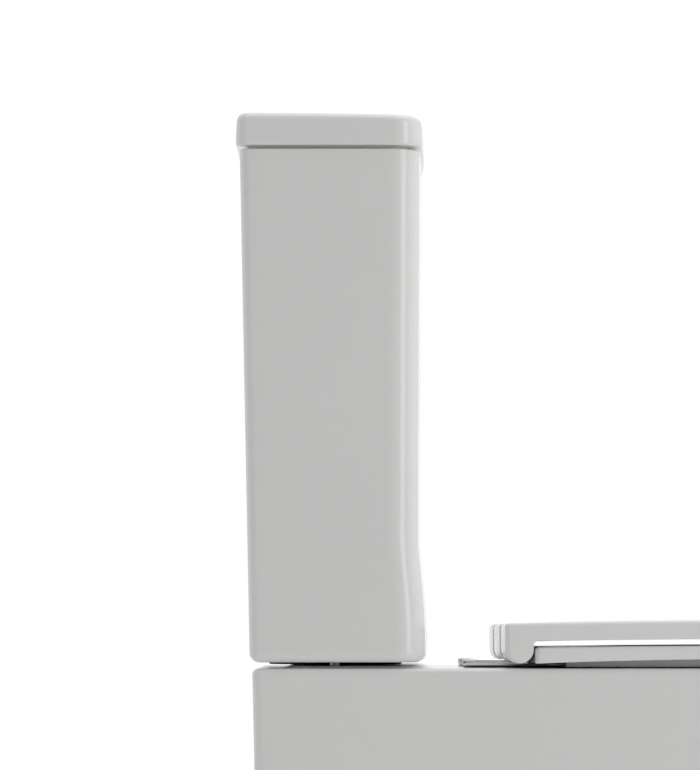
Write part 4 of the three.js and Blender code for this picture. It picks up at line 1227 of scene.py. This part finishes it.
def repeat_tree(name, axial):
    """A node tree that repeats a bar: up a line when axial, round a circle when not."""
    tree = bpy.data.node_groups.new(name, "GeometryNodeTree")
    interface = tree.interface
    interface.new_socket("Geometry", in_out="OUTPUT", socket_type="NodeSocketGeometry")
    for socket, kind in (("Shape", "Object"), ("Count", "Int"), ("Pitch", "Float"), ("Radius", "Float"),
                         ("Finish", "Material")):
        interface.new_socket(socket, in_out="INPUT", socket_type=f"NodeSocket{kind}")
    nodes, links = tree.nodes, tree.links
    enter = nodes.new("NodeGroupInput")
    leave = nodes.new("NodeGroupOutput")
    info = nodes.new("GeometryNodeObjectInfo")
    info.transform_space = "ORIGINAL"
    links.new(enter.outputs["Shape"], info.inputs["Object"])
    spread = nodes.new("GeometryNodeInstanceOnPoints")
    if axial:
        line = nodes.new("GeometryNodeMeshLine")
        line.mode = "OFFSET"
        step = nodes.new("ShaderNodeCombineXYZ")
        links.new(enter.outputs["Pitch"], step.inputs["Z"])
        links.new(step.outputs["Vector"], line.inputs["Offset"])
        links.new(enter.outputs["Count"], line.inputs["Count"])
        links.new(line.outputs["Mesh"], spread.inputs["Points"])
    else:
        circle = nodes.new("GeometryNodeMeshCircle")
        links.new(enter.outputs["Count"], circle.inputs["Vertices"])
        links.new(enter.outputs["Radius"], circle.inputs["Radius"])
        links.new(circle.outputs["Mesh"], spread.inputs["Points"])
        index = nodes.new("GeometryNodeInputIndex")
        turn = nodes.new("ShaderNodeMath")
        turn.operation = "DIVIDE"
        links.new(index.outputs["Index"], turn.inputs[0])
        links.new(enter.outputs["Count"], turn.inputs[1])
        full = nodes.new("ShaderNodeMath")
        full.operation = "MULTIPLY"
        full.inputs[1].default_value = 2 * math.pi
        links.new(turn.outputs["Value"], full.inputs[0])
        angles = nodes.new("ShaderNodeCombineXYZ")
        links.new(full.outputs["Value"], angles.inputs["Z"])
        rotate = nodes.new("FunctionNodeEulerToRotation")
        links.new(angles.outputs["Vector"], rotate.inputs["Euler"])
        links.new(rotate.outputs["Rotation"], spread.inputs["Rotation"])
    links.new(info.outputs["Geometry"], spread.inputs["Instance"])
    real = nodes.new("GeometryNodeRealizeInstances")
    links.new(spread.outputs["Instances"], real.inputs["Geometry"])
    paint = nodes.new("GeometryNodeSetMaterial")
    links.new(real.outputs["Geometry"], paint.inputs["Geometry"])
    links.new(enter.outputs["Finish"], paint.inputs["Material"])
    links.new(paint.outputs["Geometry"], leave.inputs["Geometry"])
    return tree


TREES = {}


def repeat(name, shape, count, material, pitch=0.0, radius=0.0, at=(0, 0, 0)):
    """Copies of shape up a line, or round a circle when a radius is given, as one plain mesh."""
    axial = radius == 0.0
    if axial not in TREES:
        TREES[axial] = repeat_tree("repeat_up" if axial else "repeat_round", axial)
    tree = TREES[axial]
    holder = bpy.data.objects.new(name, bpy.data.meshes.new(name))
    bpy.context.scene.collection.objects.link(holder)
    modifier = holder.modifiers.new("Repeat", "NODES")
    modifier.node_group = tree
    values = {"Shape": shape, "Count": count, "Pitch": pitch * MM, "Radius": radius * MM, "Finish": material}
    for item in tree.interface.items_tree:
        if item.item_type == "SOCKET" and item.in_out == "INPUT":
            modifier[item.identifier] = values[item.name]
    settle(holder)
    place(holder, at)
    discard(shape)
    return holder


def thread(name, radius, low, high, pitch, material, x, y, depth, sides=40):
    """Ridges of a thread, standing proud of a bar by depth."""
    root, half, crest = radius - 0.6, pitch * 0.42, pitch * 0.12
    profile = [(root, -half), (radius, -half), (radius + depth, -crest), (radius + depth, crest),
               (radius, half), (root, half)]
    count = int((high - low - pitch) / pitch)
    ridge = lathe("ridge", profile, material, sides)
    return repeat(name, ridge, count, material, pitch=pitch, at=(x, y, low + pitch * 0.8))


# ---- Flush valve --------------------------------------------------------------------------

FLANGE, SEAT_Z, CAGE, GUIDE, HEAD, HEAD_TOP = 418.5, 424.5, 520.0, 556.0, 700.0, 714.0
TAIL_RADIUS, CAGE_RADIUS, GUIDE_RADIUS, PILLAR_PLACE = 28.6, 38.0, 20, 24
SCALE_FOOT, SCALE_STEP = 562, 8.0            # the marks on the overflow tube


def big_nut(node, bore, grips):
    white = FINISHES["white"]
    low, high, centre = extent(node)
    core_radius = (high.x - low.x) / 2 - 3
    profile = [(bore, low.z), (core_radius, low.z), (core_radius, high.z), (bore, high.z)]
    core = turned("core", profile, white, 64, centre.x, centre.y, 0.8)
    grip = box("grip", (-2.2, -3.0, low.z + 0.5), (2.0, 3.0, high.z - 0.5), white, 0.9)
    collar = repeat("grips", grip, grips, white, radius=core_radius - 0.2, at=(centre.x, centre.y, 0))
    piece(merge(node, [core, collar]), node)


def make_flush_valve(sizes):
    white, blue = FINISHES["white"], FINISHES["blue"]
    node = "flush_valve_body"
    low, _, centre = extent(node)
    x, y = centre.x, centre.y
    profile = [(25, low.z), (TAIL_RADIUS, low.z), (TAIL_RADIUS, FLANGE), (42, FLANGE), (42, FLANGE + 4),
               (29, FLANGE + 4), (27, SEAT_Z), (25, SEAT_Z)]
    base = turned("base", profile, white, 72, x, y, 0.7)
    profile = [(16, CAGE), (42, CAGE), (42, CAGE + 6), (16, CAGE + 6)]
    crown = turned("crown", profile, white, 72, x, y, 1.2)
    guide = washer("guide", GUIDE_RADIUS, 15, CAGE + 5, GUIDE, white, x, y, 0.8)

    def upright(name, side, thick, wide, top, bevel):
        at = x + side * PILLAR_PLACE
        return box(name, (at - thick, y - wide, CAGE + 4), (at + thick, y + wide, top), white, bevel)

    pillars = []
    for side in (1, -1):
        pillars.append(upright("pillar", side, 4, 5, HEAD + 1, 1.2))
        pillars.append(upright("web", side, 1, 12, CAGE + 60, 0.8))
    profile = [(0, HEAD), (30, HEAD), (30, HEAD_TOP), (24, HEAD_TOP + 0.2), (0, HEAD_TOP + 0.2)]
    head = turned("head", profile, white, 72, x, y, 1.5)
    for rod in (middle("push_rod_half"), middle("push_rod_full")):
        cut(head, bar("well", 4.5, HEAD - 2, HEAD_TOP + 3, white, rod.x, rod.y, 0))
    cage_bar = box("bar", (-3, -2, FLANGE + 3), (3, 2, CAGE + 2), white, 0.8)
    cage = repeat("cage", cage_bar, sizes.cage_bars, white, radius=CAGE_RADIUS, at=(x, y, 0))
    rib = box("rib", (-1, -0.8, CAGE + 8), (1, 0.8, GUIDE - 3), white, 0.3)
    ribs = repeat("ribs", rib, 12, white, radius=GUIDE_RADIUS + 0.3, at=(x, y, 0))
    pitch = sizes.thread_pitch / MM
    threads = thread("threads", TAIL_RADIUS, low.z + 1, TANK_LOW.z / MM + 8, pitch, white, x, y, 1.0, 72)
    piece(merge("flush_valve", [base, crown, guide, *pillars, head, cage, ribs, threads]), node)
    big_nut("flush_valve_nut", 30.6, sizes.nut_grips * 2)
    low, high, _ = extent("flush_plug")
    profile = [(10.5, low.z), (32, low.z), (32, low.z + 4), (24, low.z + 5.5), (16, low.z + 8),
               (13.5, low.z + 12), (13.5, high.z - 3), (14.6, high.z - 2.4), (14.6, high.z), (10.5, high.z)]
    tube = turned("tube", profile, blue, 64, x, y, 0.7)
    mark = washer("mark", 13.9, 13.0, -0.5, 0.5, blue, 0, 0, 0.2)
    marks = repeat("marks", mark, 8, blue, pitch=SCALE_STEP, at=(x, y, SCALE_FOOT))
    piece(merge("plug", [tube, marks]), "flush_plug")
    low, high, _ = extent("flush_plug_seal")
    piece(washer("seal", 33, 22, low.z, high.z, FINISHES["black"], x, y, 0.8, 72), "flush_plug_seal")


# ---- Fill valve ---------------------------------------------------------------------------

COLUMN_TOP, VALVE_HEAD, VALVE_TOP, EAR_TOP = 738, 748, 770, 781
FLOAT_LOW, FLOAT_HIGH = 640, 700


def make_fill_valve(sizes):
    white = FINISHES["white"]
    node = "fill_valve_body"
    low, at = low_of(node), middle("fill_valve_nut")
    x, y = at.x, at.y
    shank, blind = 8.2, low.z + 60           # the shank's radius, and how far up its bore goes
    profile = [(0, blind), (6, blind), (6, low.z), (shank, low.z), (shank, FLANGE), (16, FLANGE),
               (16, FLANGE + 4), (8.5, FLANGE + 5), (8.5, COLUMN_TOP), (12, COLUMN_TOP + 3),
               (17, COLUMN_TOP + 6), (17, VALVE_TOP - 2), (15, VALVE_TOP), (0, VALVE_TOP)]
    column = turned("column", profile, white, 56, x, y, 0.7)
    band = washer("ring", 9.0, 8.0, -1, 1, white, 0, 0, 0.4)
    rings = repeat("rings", band, 5, white, pitch=30.0, at=(x, y, 480))
    threads = thread("threads", shank, low.z + 1, TANK_LOW.z / MM + 8, 2.0, white, x, y, 0.6, 48)
    ears = []
    for side in (1, -1):
        ear_x, ear_y = x + side * 6.5, LEVER_PIVOT.y
        ears.append(box("ear", (ear_x - 1.5, ear_y - 4, 766), (ear_x + 1.5, ear_y + 4, EAR_TOP), white, 1.2))
    spout = box("spout", (x - 4, y + 12, VALVE_HEAD), (x + 4, y + 24, VALVE_HEAD + 10), white, 1.5)
    grip = box("grip", (-0.8, -1.2, VALVE_HEAD), (0.7, 1.2, VALVE_HEAD + 18), white, 0.4)
    grips = repeat("grips", grip, 20, white, radius=17.0, at=(x, y, 0))
    piece(merge("fill_valve", [column, rings, threads, *ears, spout, grips]), node)
    big_nut("fill_valve_nut", 9.4, sizes.nut_grips)
    make_float(x, y)
    make_lever(x)


def make_float(x, y):
    """A cup open at the top, with the link that lifts the lever."""
    grey = FINISHES["grey"]
    profile = [(9.2, FLOAT_LOW), (26, FLOAT_LOW), (28, FLOAT_LOW + 4), (28, FLOAT_HIGH), (26.4, FLOAT_HIGH),
               (26.4, FLOAT_HIGH - 6), (12, FLOAT_HIGH - 6), (12, FLOAT_HIGH), (9.2, FLOAT_HIGH)]
    cup = turned("cup", profile, grey, 64, x, y, 1.0)
    band = washer("band", 28.0, 27.4, -1.0, 1.0, grey, 0, 0, 0.4)
    bands = repeat("bands", band, 4, grey, pitch=12.0, at=(x, y, 652))
    link_y, top = low_of("fill_valve_lever").y + 4, high_of("fill_valve_float").z
    foot = FLOAT_HIGH - 6
    profile = [(0, foot), (2.2, foot), (2.2, top - 2), (0.6, top), (0, top)]
    link = turned("link", profile, grey, 24, x, link_y, 0.3)
    profile = [(0, foot - 4), (4, foot - 4), (4, foot + 10), (3, foot + 12), (0, foot + 12)]
    boss = turned("boss", profile, grey, 32, x, link_y, 0.6)
    piece(merge("float", [cup, bands, link, boss]), "fill_valve_float")


def make_lever(x):
    white = FINISHES["white"]
    low, high, _ = extent("fill_valve_lever")
    y, z = LEVER_PIVOT.y, LEVER_PIVOT.z
    arm = box("arm", (x - 4, low.y, z - 2), (x + 4, high.y, z + 2), white, 1.0, 4)
    join(arm, cross_bar("pivot", 3.4, (x, y, z), (1, 0, 0), 8.8, white, 32, 0.4))
    cut(arm, box("waist", (x - 2, low.y + 8, z + 1), (x + 2, y - 8, z + 6), white, 0))
    piece(arm, "fill_valve_lever")


# ---- Dual flush button --------------------------------------------------------------------

BEZEL_SEAT, BEZEL_BODY = 847.1, 22.0
BUTTON_SPLIT, BUTTON_GAP, BUTTON_REACH = 4.5, 0.3, 19


def make_buttons(sizes):
    chrome, white = FINISHES["chrome"], FINISHES["white"]
    low, high, centre = extent("button_bezel")
    x, rim = centre.x, high.z
    profile = [(20, low.z), (BEZEL_BODY, low.z), (BEZEL_BODY, BEZEL_SEAT), (28, BEZEL_SEAT), (28, rim - 1.1),
               (26.6, rim), (21.2, rim), (20, rim - 1.0)]
    bezel = turned("bezel", profile, chrome, 96, x, 0, 0.7)
    threads = thread("threads", BEZEL_BODY, low.z, BEZEL_SEAT - 14, 2.0, chrome, x, 0, 0.45, 72)
    piece(merge("bezel_threaded", [bezel, threads]), "button_bezel")
    make_button("button_half", x, 1, 2.6)
    make_button("button_full", x, -1, 4.2)
    big_nut("button_nut", 22.9, sizes.nut_grips * 2)
    for node in ("push_rod_half", "push_rod_full"):
        low, high, at = extent(node)
        rod = bar("rod", 2.1, low.z, high.z, white, at.x, at.y, 0.5)
        collar = washer("collar", 4.5, 1.9, 800, 812, white, at.x, at.y, 0.7)
        ridges = thread("threads", 2.1, low.z + 14, 798, 1.5, white, at.x, at.y, 0.4, 20)
        piece(merge("rod", [rod, collar, ridges]), node)


def make_button(node, x, side, mark):
    """One part of the split round button, with a ring of radius mark sunk in its face."""
    chrome = FINISHES["chrome"]
    low, high, _ = extent(node)
    top = high.z
    profile = [(0, low.z), (19.2, low.z), (19.2, top - 0.5), (18.4, top), (14, top - 0.1), (7, top - 0.5),
               (0, top - 0.6)]
    face = turned("face", profile, chrome, 96, x, 0, 0.5)
    near, far = sorted((BUTTON_SPLIT + side * BUTTON_GAP, BUTTON_SPLIT - side * 60))
    cut(face, box("keep", (x - 30, near, low.z - 5), (x + 30, far, top + 5), chrome, 0))
    edge_round(face, 0.5, 3, 50)
    mark_y = side * 0.5 * (BUTTON_REACH - side * BUTTON_SPLIT) + BUTTON_SPLIT * (0.5 if side > 0 else 1.0)
    cut(face, washer("mark", mark, mark - 0.7, top - 1.0, top + 2, chrome, x, mark_y, 0.1, 48))
    piece(face, node)


# ---- Floor fixing and steel threads -------------------------------------------------------

BRACKET_THICKNESS, GUSSET_PLACE, GUSSET_REACH, GUSSET_TOP = 4, 24, 20, 34


def make_floor_fixing():
    for label, side in SIDES:
        floor_screw, side_screw = f"floor_screw_{label}", f"side_screw_{label}"
        make_bracket(f"floor_bracket_{label}", side, middle(floor_screw), middle(side_screw))
        low, high, at = extent(floor_screw)
        screw = screw_shape(high.z - low.z)
        place(screw, (at.x, at.y, low.z))
        piece(screw, floor_screw)
        low, high, at = extent(side_screw)
        screw = screw_shape(high.y - low.y)
        turn_to(screw, (0, side, 0))
        place(screw, (at.x, low.y if side > 0 else high.y, at.z))
        piece(screw, side_screw)
        low, high, at = extent(f"side_cap_{label}")
        depth = high.y - low.y
        profile = [(0, 0), (8, 0), (7.9, depth * 0.4), (6.6, depth), (0, depth + 0.3)]
        cap = turned("cap", profile, FINISHES["chrome"], 56, 0, 0, 0.5)
        turn_to(cap, (0, side, 0))
        place(cap, (at.x, low.y if side > 0 else high.y, at.z))
        piece(cap, f"side_cap_{label}")


def make_bracket(node, side, floor_screw, side_screw):
    """An angle with two gussets, its upright against the skirt's wall."""
    grey = FINISHES["grey"]
    low, high, centre = extent(node)
    wall_y, inner_y = (high.y, low.y) if side > 0 else (low.y, high.y)
    upright = sorted((wall_y, wall_y - side * BRACKET_THICKNESS))
    foot = sorted((wall_y, inner_y))
    bracket = box("upright", (low.x, upright[0], low.z), (high.x, upright[1], high.z), grey, 1.2)
    foot_low, foot_high = (low.x, foot[0], low.z), (high.x, foot[1], low.z + BRACKET_THICKNESS)
    join(bracket, box("foot", foot_low, foot_high, grey, 1.2))
    root_y = wall_y - side * 2
    gusset_y = sorted((root_y, wall_y - side * GUSSET_REACH))
    gusset = [(gusset_y[0], 2), (gusset_y[1], 2), (root_y, GUSSET_TOP)]
    for offset in (-GUSSET_PLACE, GUSSET_PLACE):
        web = prism("gusset", gusset, -1.4, 1.4, grey, 0)
        join(bracket, lay(web, ALONG_X, (centre.x + offset, 0, 0)))
    cut(bracket, bar("hole", 3.6, -5, 10, grey, floor_screw.x, floor_screw.y, 0),
        cross_bar("hole", 3, (side_screw.x, wall_y, side_screw.z), (0, 1, 0), 20, grey))
    piece(bracket, node)


def screw_shape(length):
    """A countersunk screw with a cross slot, its tip at the origin and its head up."""
    steel = FINISHES["steel"]
    profile = [(0, 0), (2.2, 3), (2.2, length - 4.2), (2.6, length - 4), (5.5, length - 1.2),
               (5.5, length - 0.4), (4.6, length), (0, length)]
    shank = turned("screw", profile, steel, 36, 0, 0, 0.25)
    for a, b in ((2.6, 0.5), (0.5, 2.6)):
        cut(shank, box("slot", (-a, -b, length - 1.8), (a, b, length + 1), steel, 0))
    ridges = thread("threads", 2.2, 3.0, length - 4.5, 1.4, steel, 0, 0, 0.45, 24)
    return merge("screw", [shank, ridges])


def make_stud_threads(sizes):
    """Threads of the hinge studs and cistern bolts, all on the fixed body."""
    steel = FINISHES["steel"]
    pitch, top = sizes.fine_pitch / MM, PAN_HIGH.z / MM - 16
    parts = []
    for label, _ in SIDES:
        for node in (f"hinge_stud_{label}", f"cistern_bolt_{label}"):
            low, _, at = extent(node)
            parts.append(thread(node, 3.9, low.z + 0.5, top, pitch, steel, at.x, at.y, 0.25, 32))
    threads = merge("steel_threads", parts)
    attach(threads, "root")


# ---- Stage --------------------------------------------------------------------------------

FLOOR_REACH = 6000                           # half the floor's side
AIM = Vector((0, 0, 0.45))                   # where the lamps point, in metres

# How bright the studio is from the camera's side (0) to behind the piece (1), with a lit panel at the end.
WORLD_BANDS = ((0.0, 0.38), (0.42, 0.50), (0.52, 0.98), (0.80, 0.95), (0.975, 0.70), (0.987, 1.02))


def make_stage(sizes):
    scene = bpy.context.scene
    scene.view_settings.view_transform = "Standard"
    scene.view_settings.look = "None"
    world = bpy.data.worlds.new("studio")
    scene.world = world
    world.use_nodes = True
    nodes, links = world.node_tree.nodes, world.node_tree.links
    background = nodes["Background"]
    direction = nodes.new("ShaderNodeTexCoord")
    parts = nodes.new("ShaderNodeSeparateXYZ")
    links.new(direction.outputs["Generated"], parts.inputs["Vector"])
    share = nodes.new("ShaderNodeMapRange")
    share.inputs["From Min"].default_value = -1.0
    links.new(parts.outputs["Y"], share.inputs["Value"])
    fade = nodes.new("ShaderNodeValToRGB")
    bands = fade.color_ramp.elements
    for position, _ in WORLD_BANDS[2:]:
        bands.new(position)
    for band, (position, strength) in zip(bands, WORLD_BANDS):
        band.position = position
        band.color = (strength, strength, strength, 1.0)
    links.new(share.outputs["Result"], fade.inputs["Fac"])
    links.new(fade.outputs["Color"], background.inputs["Strength"])
    background.inputs["Color"].default_value = (1.0, 1.0, 1.0, 1.0)

    r = FLOOR_REACH
    floor = new_object("floor", [(-r, -r, 0), (r, -r, 0), (r, r, 0), (-r, r, 0)], [(0, 1, 2, 3)], [])
    material, nodes, links, principled = shader("pale_floor", 0.55)
    cloud = noise_of(nodes, links, 3.0, 4.0)
    tint(nodes, links, cloud.outputs["Fac"], (0.80, 0.80, 0.79), 0.015, principled.inputs["Base Color"])
    floor.data.materials.append(material)

    def lamp(name, place_at, size, power):
        data = bpy.data.lights.new(name, "AREA")
        data.shape = "RECTANGLE"
        data.size, data.size_y = size
        data.energy = power
        obj = bpy.data.objects.new(name, data)
        scene.collection.objects.link(obj)
        obj.location = place_at
        obj.rotation_euler = (AIM - Vector(place_at)).to_track_quat("-Z", "Y").to_euler()

    lamp("top_box", (0.1, 0.1, 2.6), (1.8, 1.8), 9.0)
    lamp("front_box", (2.0, -1.5, 1.1), (0.9, 2.0), 12.0)

    camera = bpy.data.objects.new("camera", bpy.data.cameras.new("camera"))
    scene.collection.objects.link(camera)
    camera.data.lens = sizes.lens
    camera.data.sensor_width = 36.0
    camera.location = (from_wall(sizes.ahead / MM) * MM, TANK_LOW.y - sizes.distance,
                       PAN_HIGH.z - PLATFORM_RISE * MM + sizes.eye_above_deck)
    camera.rotation_euler = (math.pi / 2 + sizes.tilt, 0, 0)
    camera.data.clip_end = 50
    scene.camera = camera


# ---- Operators ----------------------------------------------------------------------------

class TOILET_OT_finishes(bpy.types.Operator):
    """Make the materials of every piece"""
    bl_idname = "toilet.finishes"
    bl_label = "Mix Finishes"
    bl_options = {"REGISTER", "UNDO"}

    def execute(self, context):
        make_finishes(context.scene.toilet_finish)
        return {"FINISHED"}


class TOILET_OT_pan(bpy.types.Operator):
    """Make the skirted pan"""
    bl_idname = "toilet.pan"
    bl_label = "Cast Pan"
    bl_options = {"REGISTER", "UNDO"}

    def execute(self, context):
        make_pan(context.scene.toilet_pan)
        return {"FINISHED"}


class TOILET_OT_cistern(bpy.types.Operator):
    """Make the cistern"""
    bl_idname = "toilet.cistern"
    bl_label = "Cast Cistern"
    bl_options = {"REGISTER", "UNDO"}

    def execute(self, context):
        make_cistern(context.scene.toilet_cistern)
        return {"FINISHED"}


class TOILET_OT_lid(bpy.types.Operator):
    """Make the cistern's lid"""
    bl_idname = "toilet.lid"
    bl_label = "Cast Cistern Lid"
    bl_options = {"REGISTER", "UNDO"}

    def execute(self, context):
        make_lid(context.scene.toilet_cistern)
        return {"FINISHED"}


class TOILET_OT_ring(bpy.types.Operator):
    """Make the seat ring"""
    bl_idname = "toilet.ring"
    bl_label = "Mould Ring"
    bl_options = {"REGISTER", "UNDO"}

    def execute(self, context):
        make_ring(context.scene.toilet_seat)
        return {"FINISHED"}


class TOILET_OT_cover(bpy.types.Operator):
    """Make the seat cover"""
    bl_idname = "toilet.cover"
    bl_label = "Mould Cover"
    bl_options = {"REGISTER", "UNDO"}

    def execute(self, context):
        make_cover(context.scene.toilet_seat)
        return {"FINISHED"}


class TOILET_OT_buffers(bpy.types.Operator):
    """Make the soft buffers of the ring and the cover"""
    bl_idname = "toilet.buffers"
    bl_label = "Mould Buffers"
    bl_options = {"REGISTER", "UNDO"}

    def execute(self, context):
        make_buffers()
        return {"FINISHED"}


class TOILET_OT_hinges(bpy.types.Operator):
    """Make both hinges with their studs and nuts"""
    bl_idname = "toilet.hinges"
    bl_label = "Fit Hinges"
    bl_options = {"REGISTER", "UNDO"}

    def execute(self, context):
        make_hinges()
        return {"FINISHED"}


class TOILET_OT_cistern_fixing(bpy.types.Operator):
    """Make the cistern's bolts, nuts and seals"""
    bl_idname = "toilet.cistern_fixing"
    bl_label = "Fit Cistern"
    bl_options = {"REGISTER", "UNDO"}

    def execute(self, context):
        make_cistern_fixing()
        return {"FINISHED"}


class TOILET_OT_flush_valve(bpy.types.Operator):
    """Make the flush valve and its plug"""
    bl_idname = "toilet.flush_valve"
    bl_label = "Fit Flush Valve"
    bl_options = {"REGISTER", "UNDO"}

    def execute(self, context):
        make_flush_valve(context.scene.toilet_fittings)
        return {"FINISHED"}


class TOILET_OT_fill_valve(bpy.types.Operator):
    """Make the fill valve, its float and its lever"""
    bl_idname = "toilet.fill_valve"
    bl_label = "Fit Fill Valve"
    bl_options = {"REGISTER", "UNDO"}

    def execute(self, context):
        make_fill_valve(context.scene.toilet_fittings)
        return {"FINISHED"}


class TOILET_OT_buttons(bpy.types.Operator):
    """Make the dual flush button and its rods"""
    bl_idname = "toilet.buttons"
    bl_label = "Fit Buttons"
    bl_options = {"REGISTER", "UNDO"}

    def execute(self, context):
        make_buttons(context.scene.toilet_fittings)
        return {"FINISHED"}


class TOILET_OT_floor_fixing(bpy.types.Operator):
    """Make the floor brackets, screws and caps"""
    bl_idname = "toilet.floor_fixing"
    bl_label = "Fit Floor Brackets"
    bl_options = {"REGISTER", "UNDO"}

    def execute(self, context):
        make_floor_fixing()
        return {"FINISHED"}


class TOILET_OT_threads(bpy.types.Operator):
    """Make the threads of the studs and bolts"""
    bl_idname = "toilet.threads"
    bl_label = "Cut Threads"
    bl_options = {"REGISTER", "UNDO"}

    def execute(self, context):
        make_stud_threads(context.scene.toilet_fittings)
        return {"FINISHED"}


class TOILET_OT_stage(bpy.types.Operator):
    """Make the floor, the lights and the camera"""
    bl_idname = "toilet.stage"
    bl_label = "Set Stage"
    bl_options = {"REGISTER", "UNDO"}

    def execute(self, context):
        make_stage(context.scene.toilet_stage)
        return {"FINISHED"}


OPERATORS = (
    TOILET_OT_finishes, TOILET_OT_pan, TOILET_OT_cistern, TOILET_OT_lid, TOILET_OT_ring, TOILET_OT_cover,
    TOILET_OT_buffers, TOILET_OT_hinges, TOILET_OT_cistern_fixing, TOILET_OT_flush_valve,
    TOILET_OT_fill_valve, TOILET_OT_buttons, TOILET_OT_floor_fixing, TOILET_OT_threads, TOILET_OT_stage,
)
SETTINGS = {
    "toilet_pan": PanSettings, "toilet_cistern": CisternSettings, "toilet_seat": SeatSettings,
    "toilet_fittings": FittingSettings, "toilet_finish": FinishSettings, "toilet_stage": StageSettings,
}


class TOILET_PT_pieces(bpy.types.Panel):
    """Lists the pieces of the toilet in the order in which they are made"""
    bl_label = "Close Coupled Toilet"
    bl_idname = "TOILET_PT_pieces"
    bl_space_type = "VIEW_3D"
    bl_region_type = "UI"
    bl_category = "Toilet"

    def draw(self, context):
        for operation in OPERATORS:
            self.layout.operator(operation.bl_idname)
        for name, settings in SETTINGS.items():
            box_layout = self.layout.box()
            group = getattr(context.scene, name)
            for field in settings.__annotations__:
                box_layout.prop(group, field)


def register():
    for settings in SETTINGS.values():
        bpy.utils.register_class(settings)
    for name, settings in SETTINGS.items():
        setattr(bpy.types.Scene, name, PointerProperty(type=settings))
    for operation in OPERATORS:
        bpy.utils.register_class(operation)
    bpy.utils.register_class(TOILET_PT_pieces)


def unregister():
    bpy.utils.unregister_class(TOILET_PT_pieces)
    for operation in reversed(OPERATORS):
        bpy.utils.unregister_class(operation)
    for name in SETTINGS:
        delattr(bpy.types.Scene, name)
    for settings in SETTINGS.values():
        bpy.utils.unregister_class(settings)


def main():
    register()
    for operation in OPERATORS:
        group, name = operation.bl_idname.split(".")
        result = getattr(getattr(bpy.ops, group), name)()
        if result != {"FINISHED"}:
            raise RuntimeError(f"{operation.bl_idname} did not finish")
    bpy.context.view_layer.update()


if __name__ == "__main__":
    main()
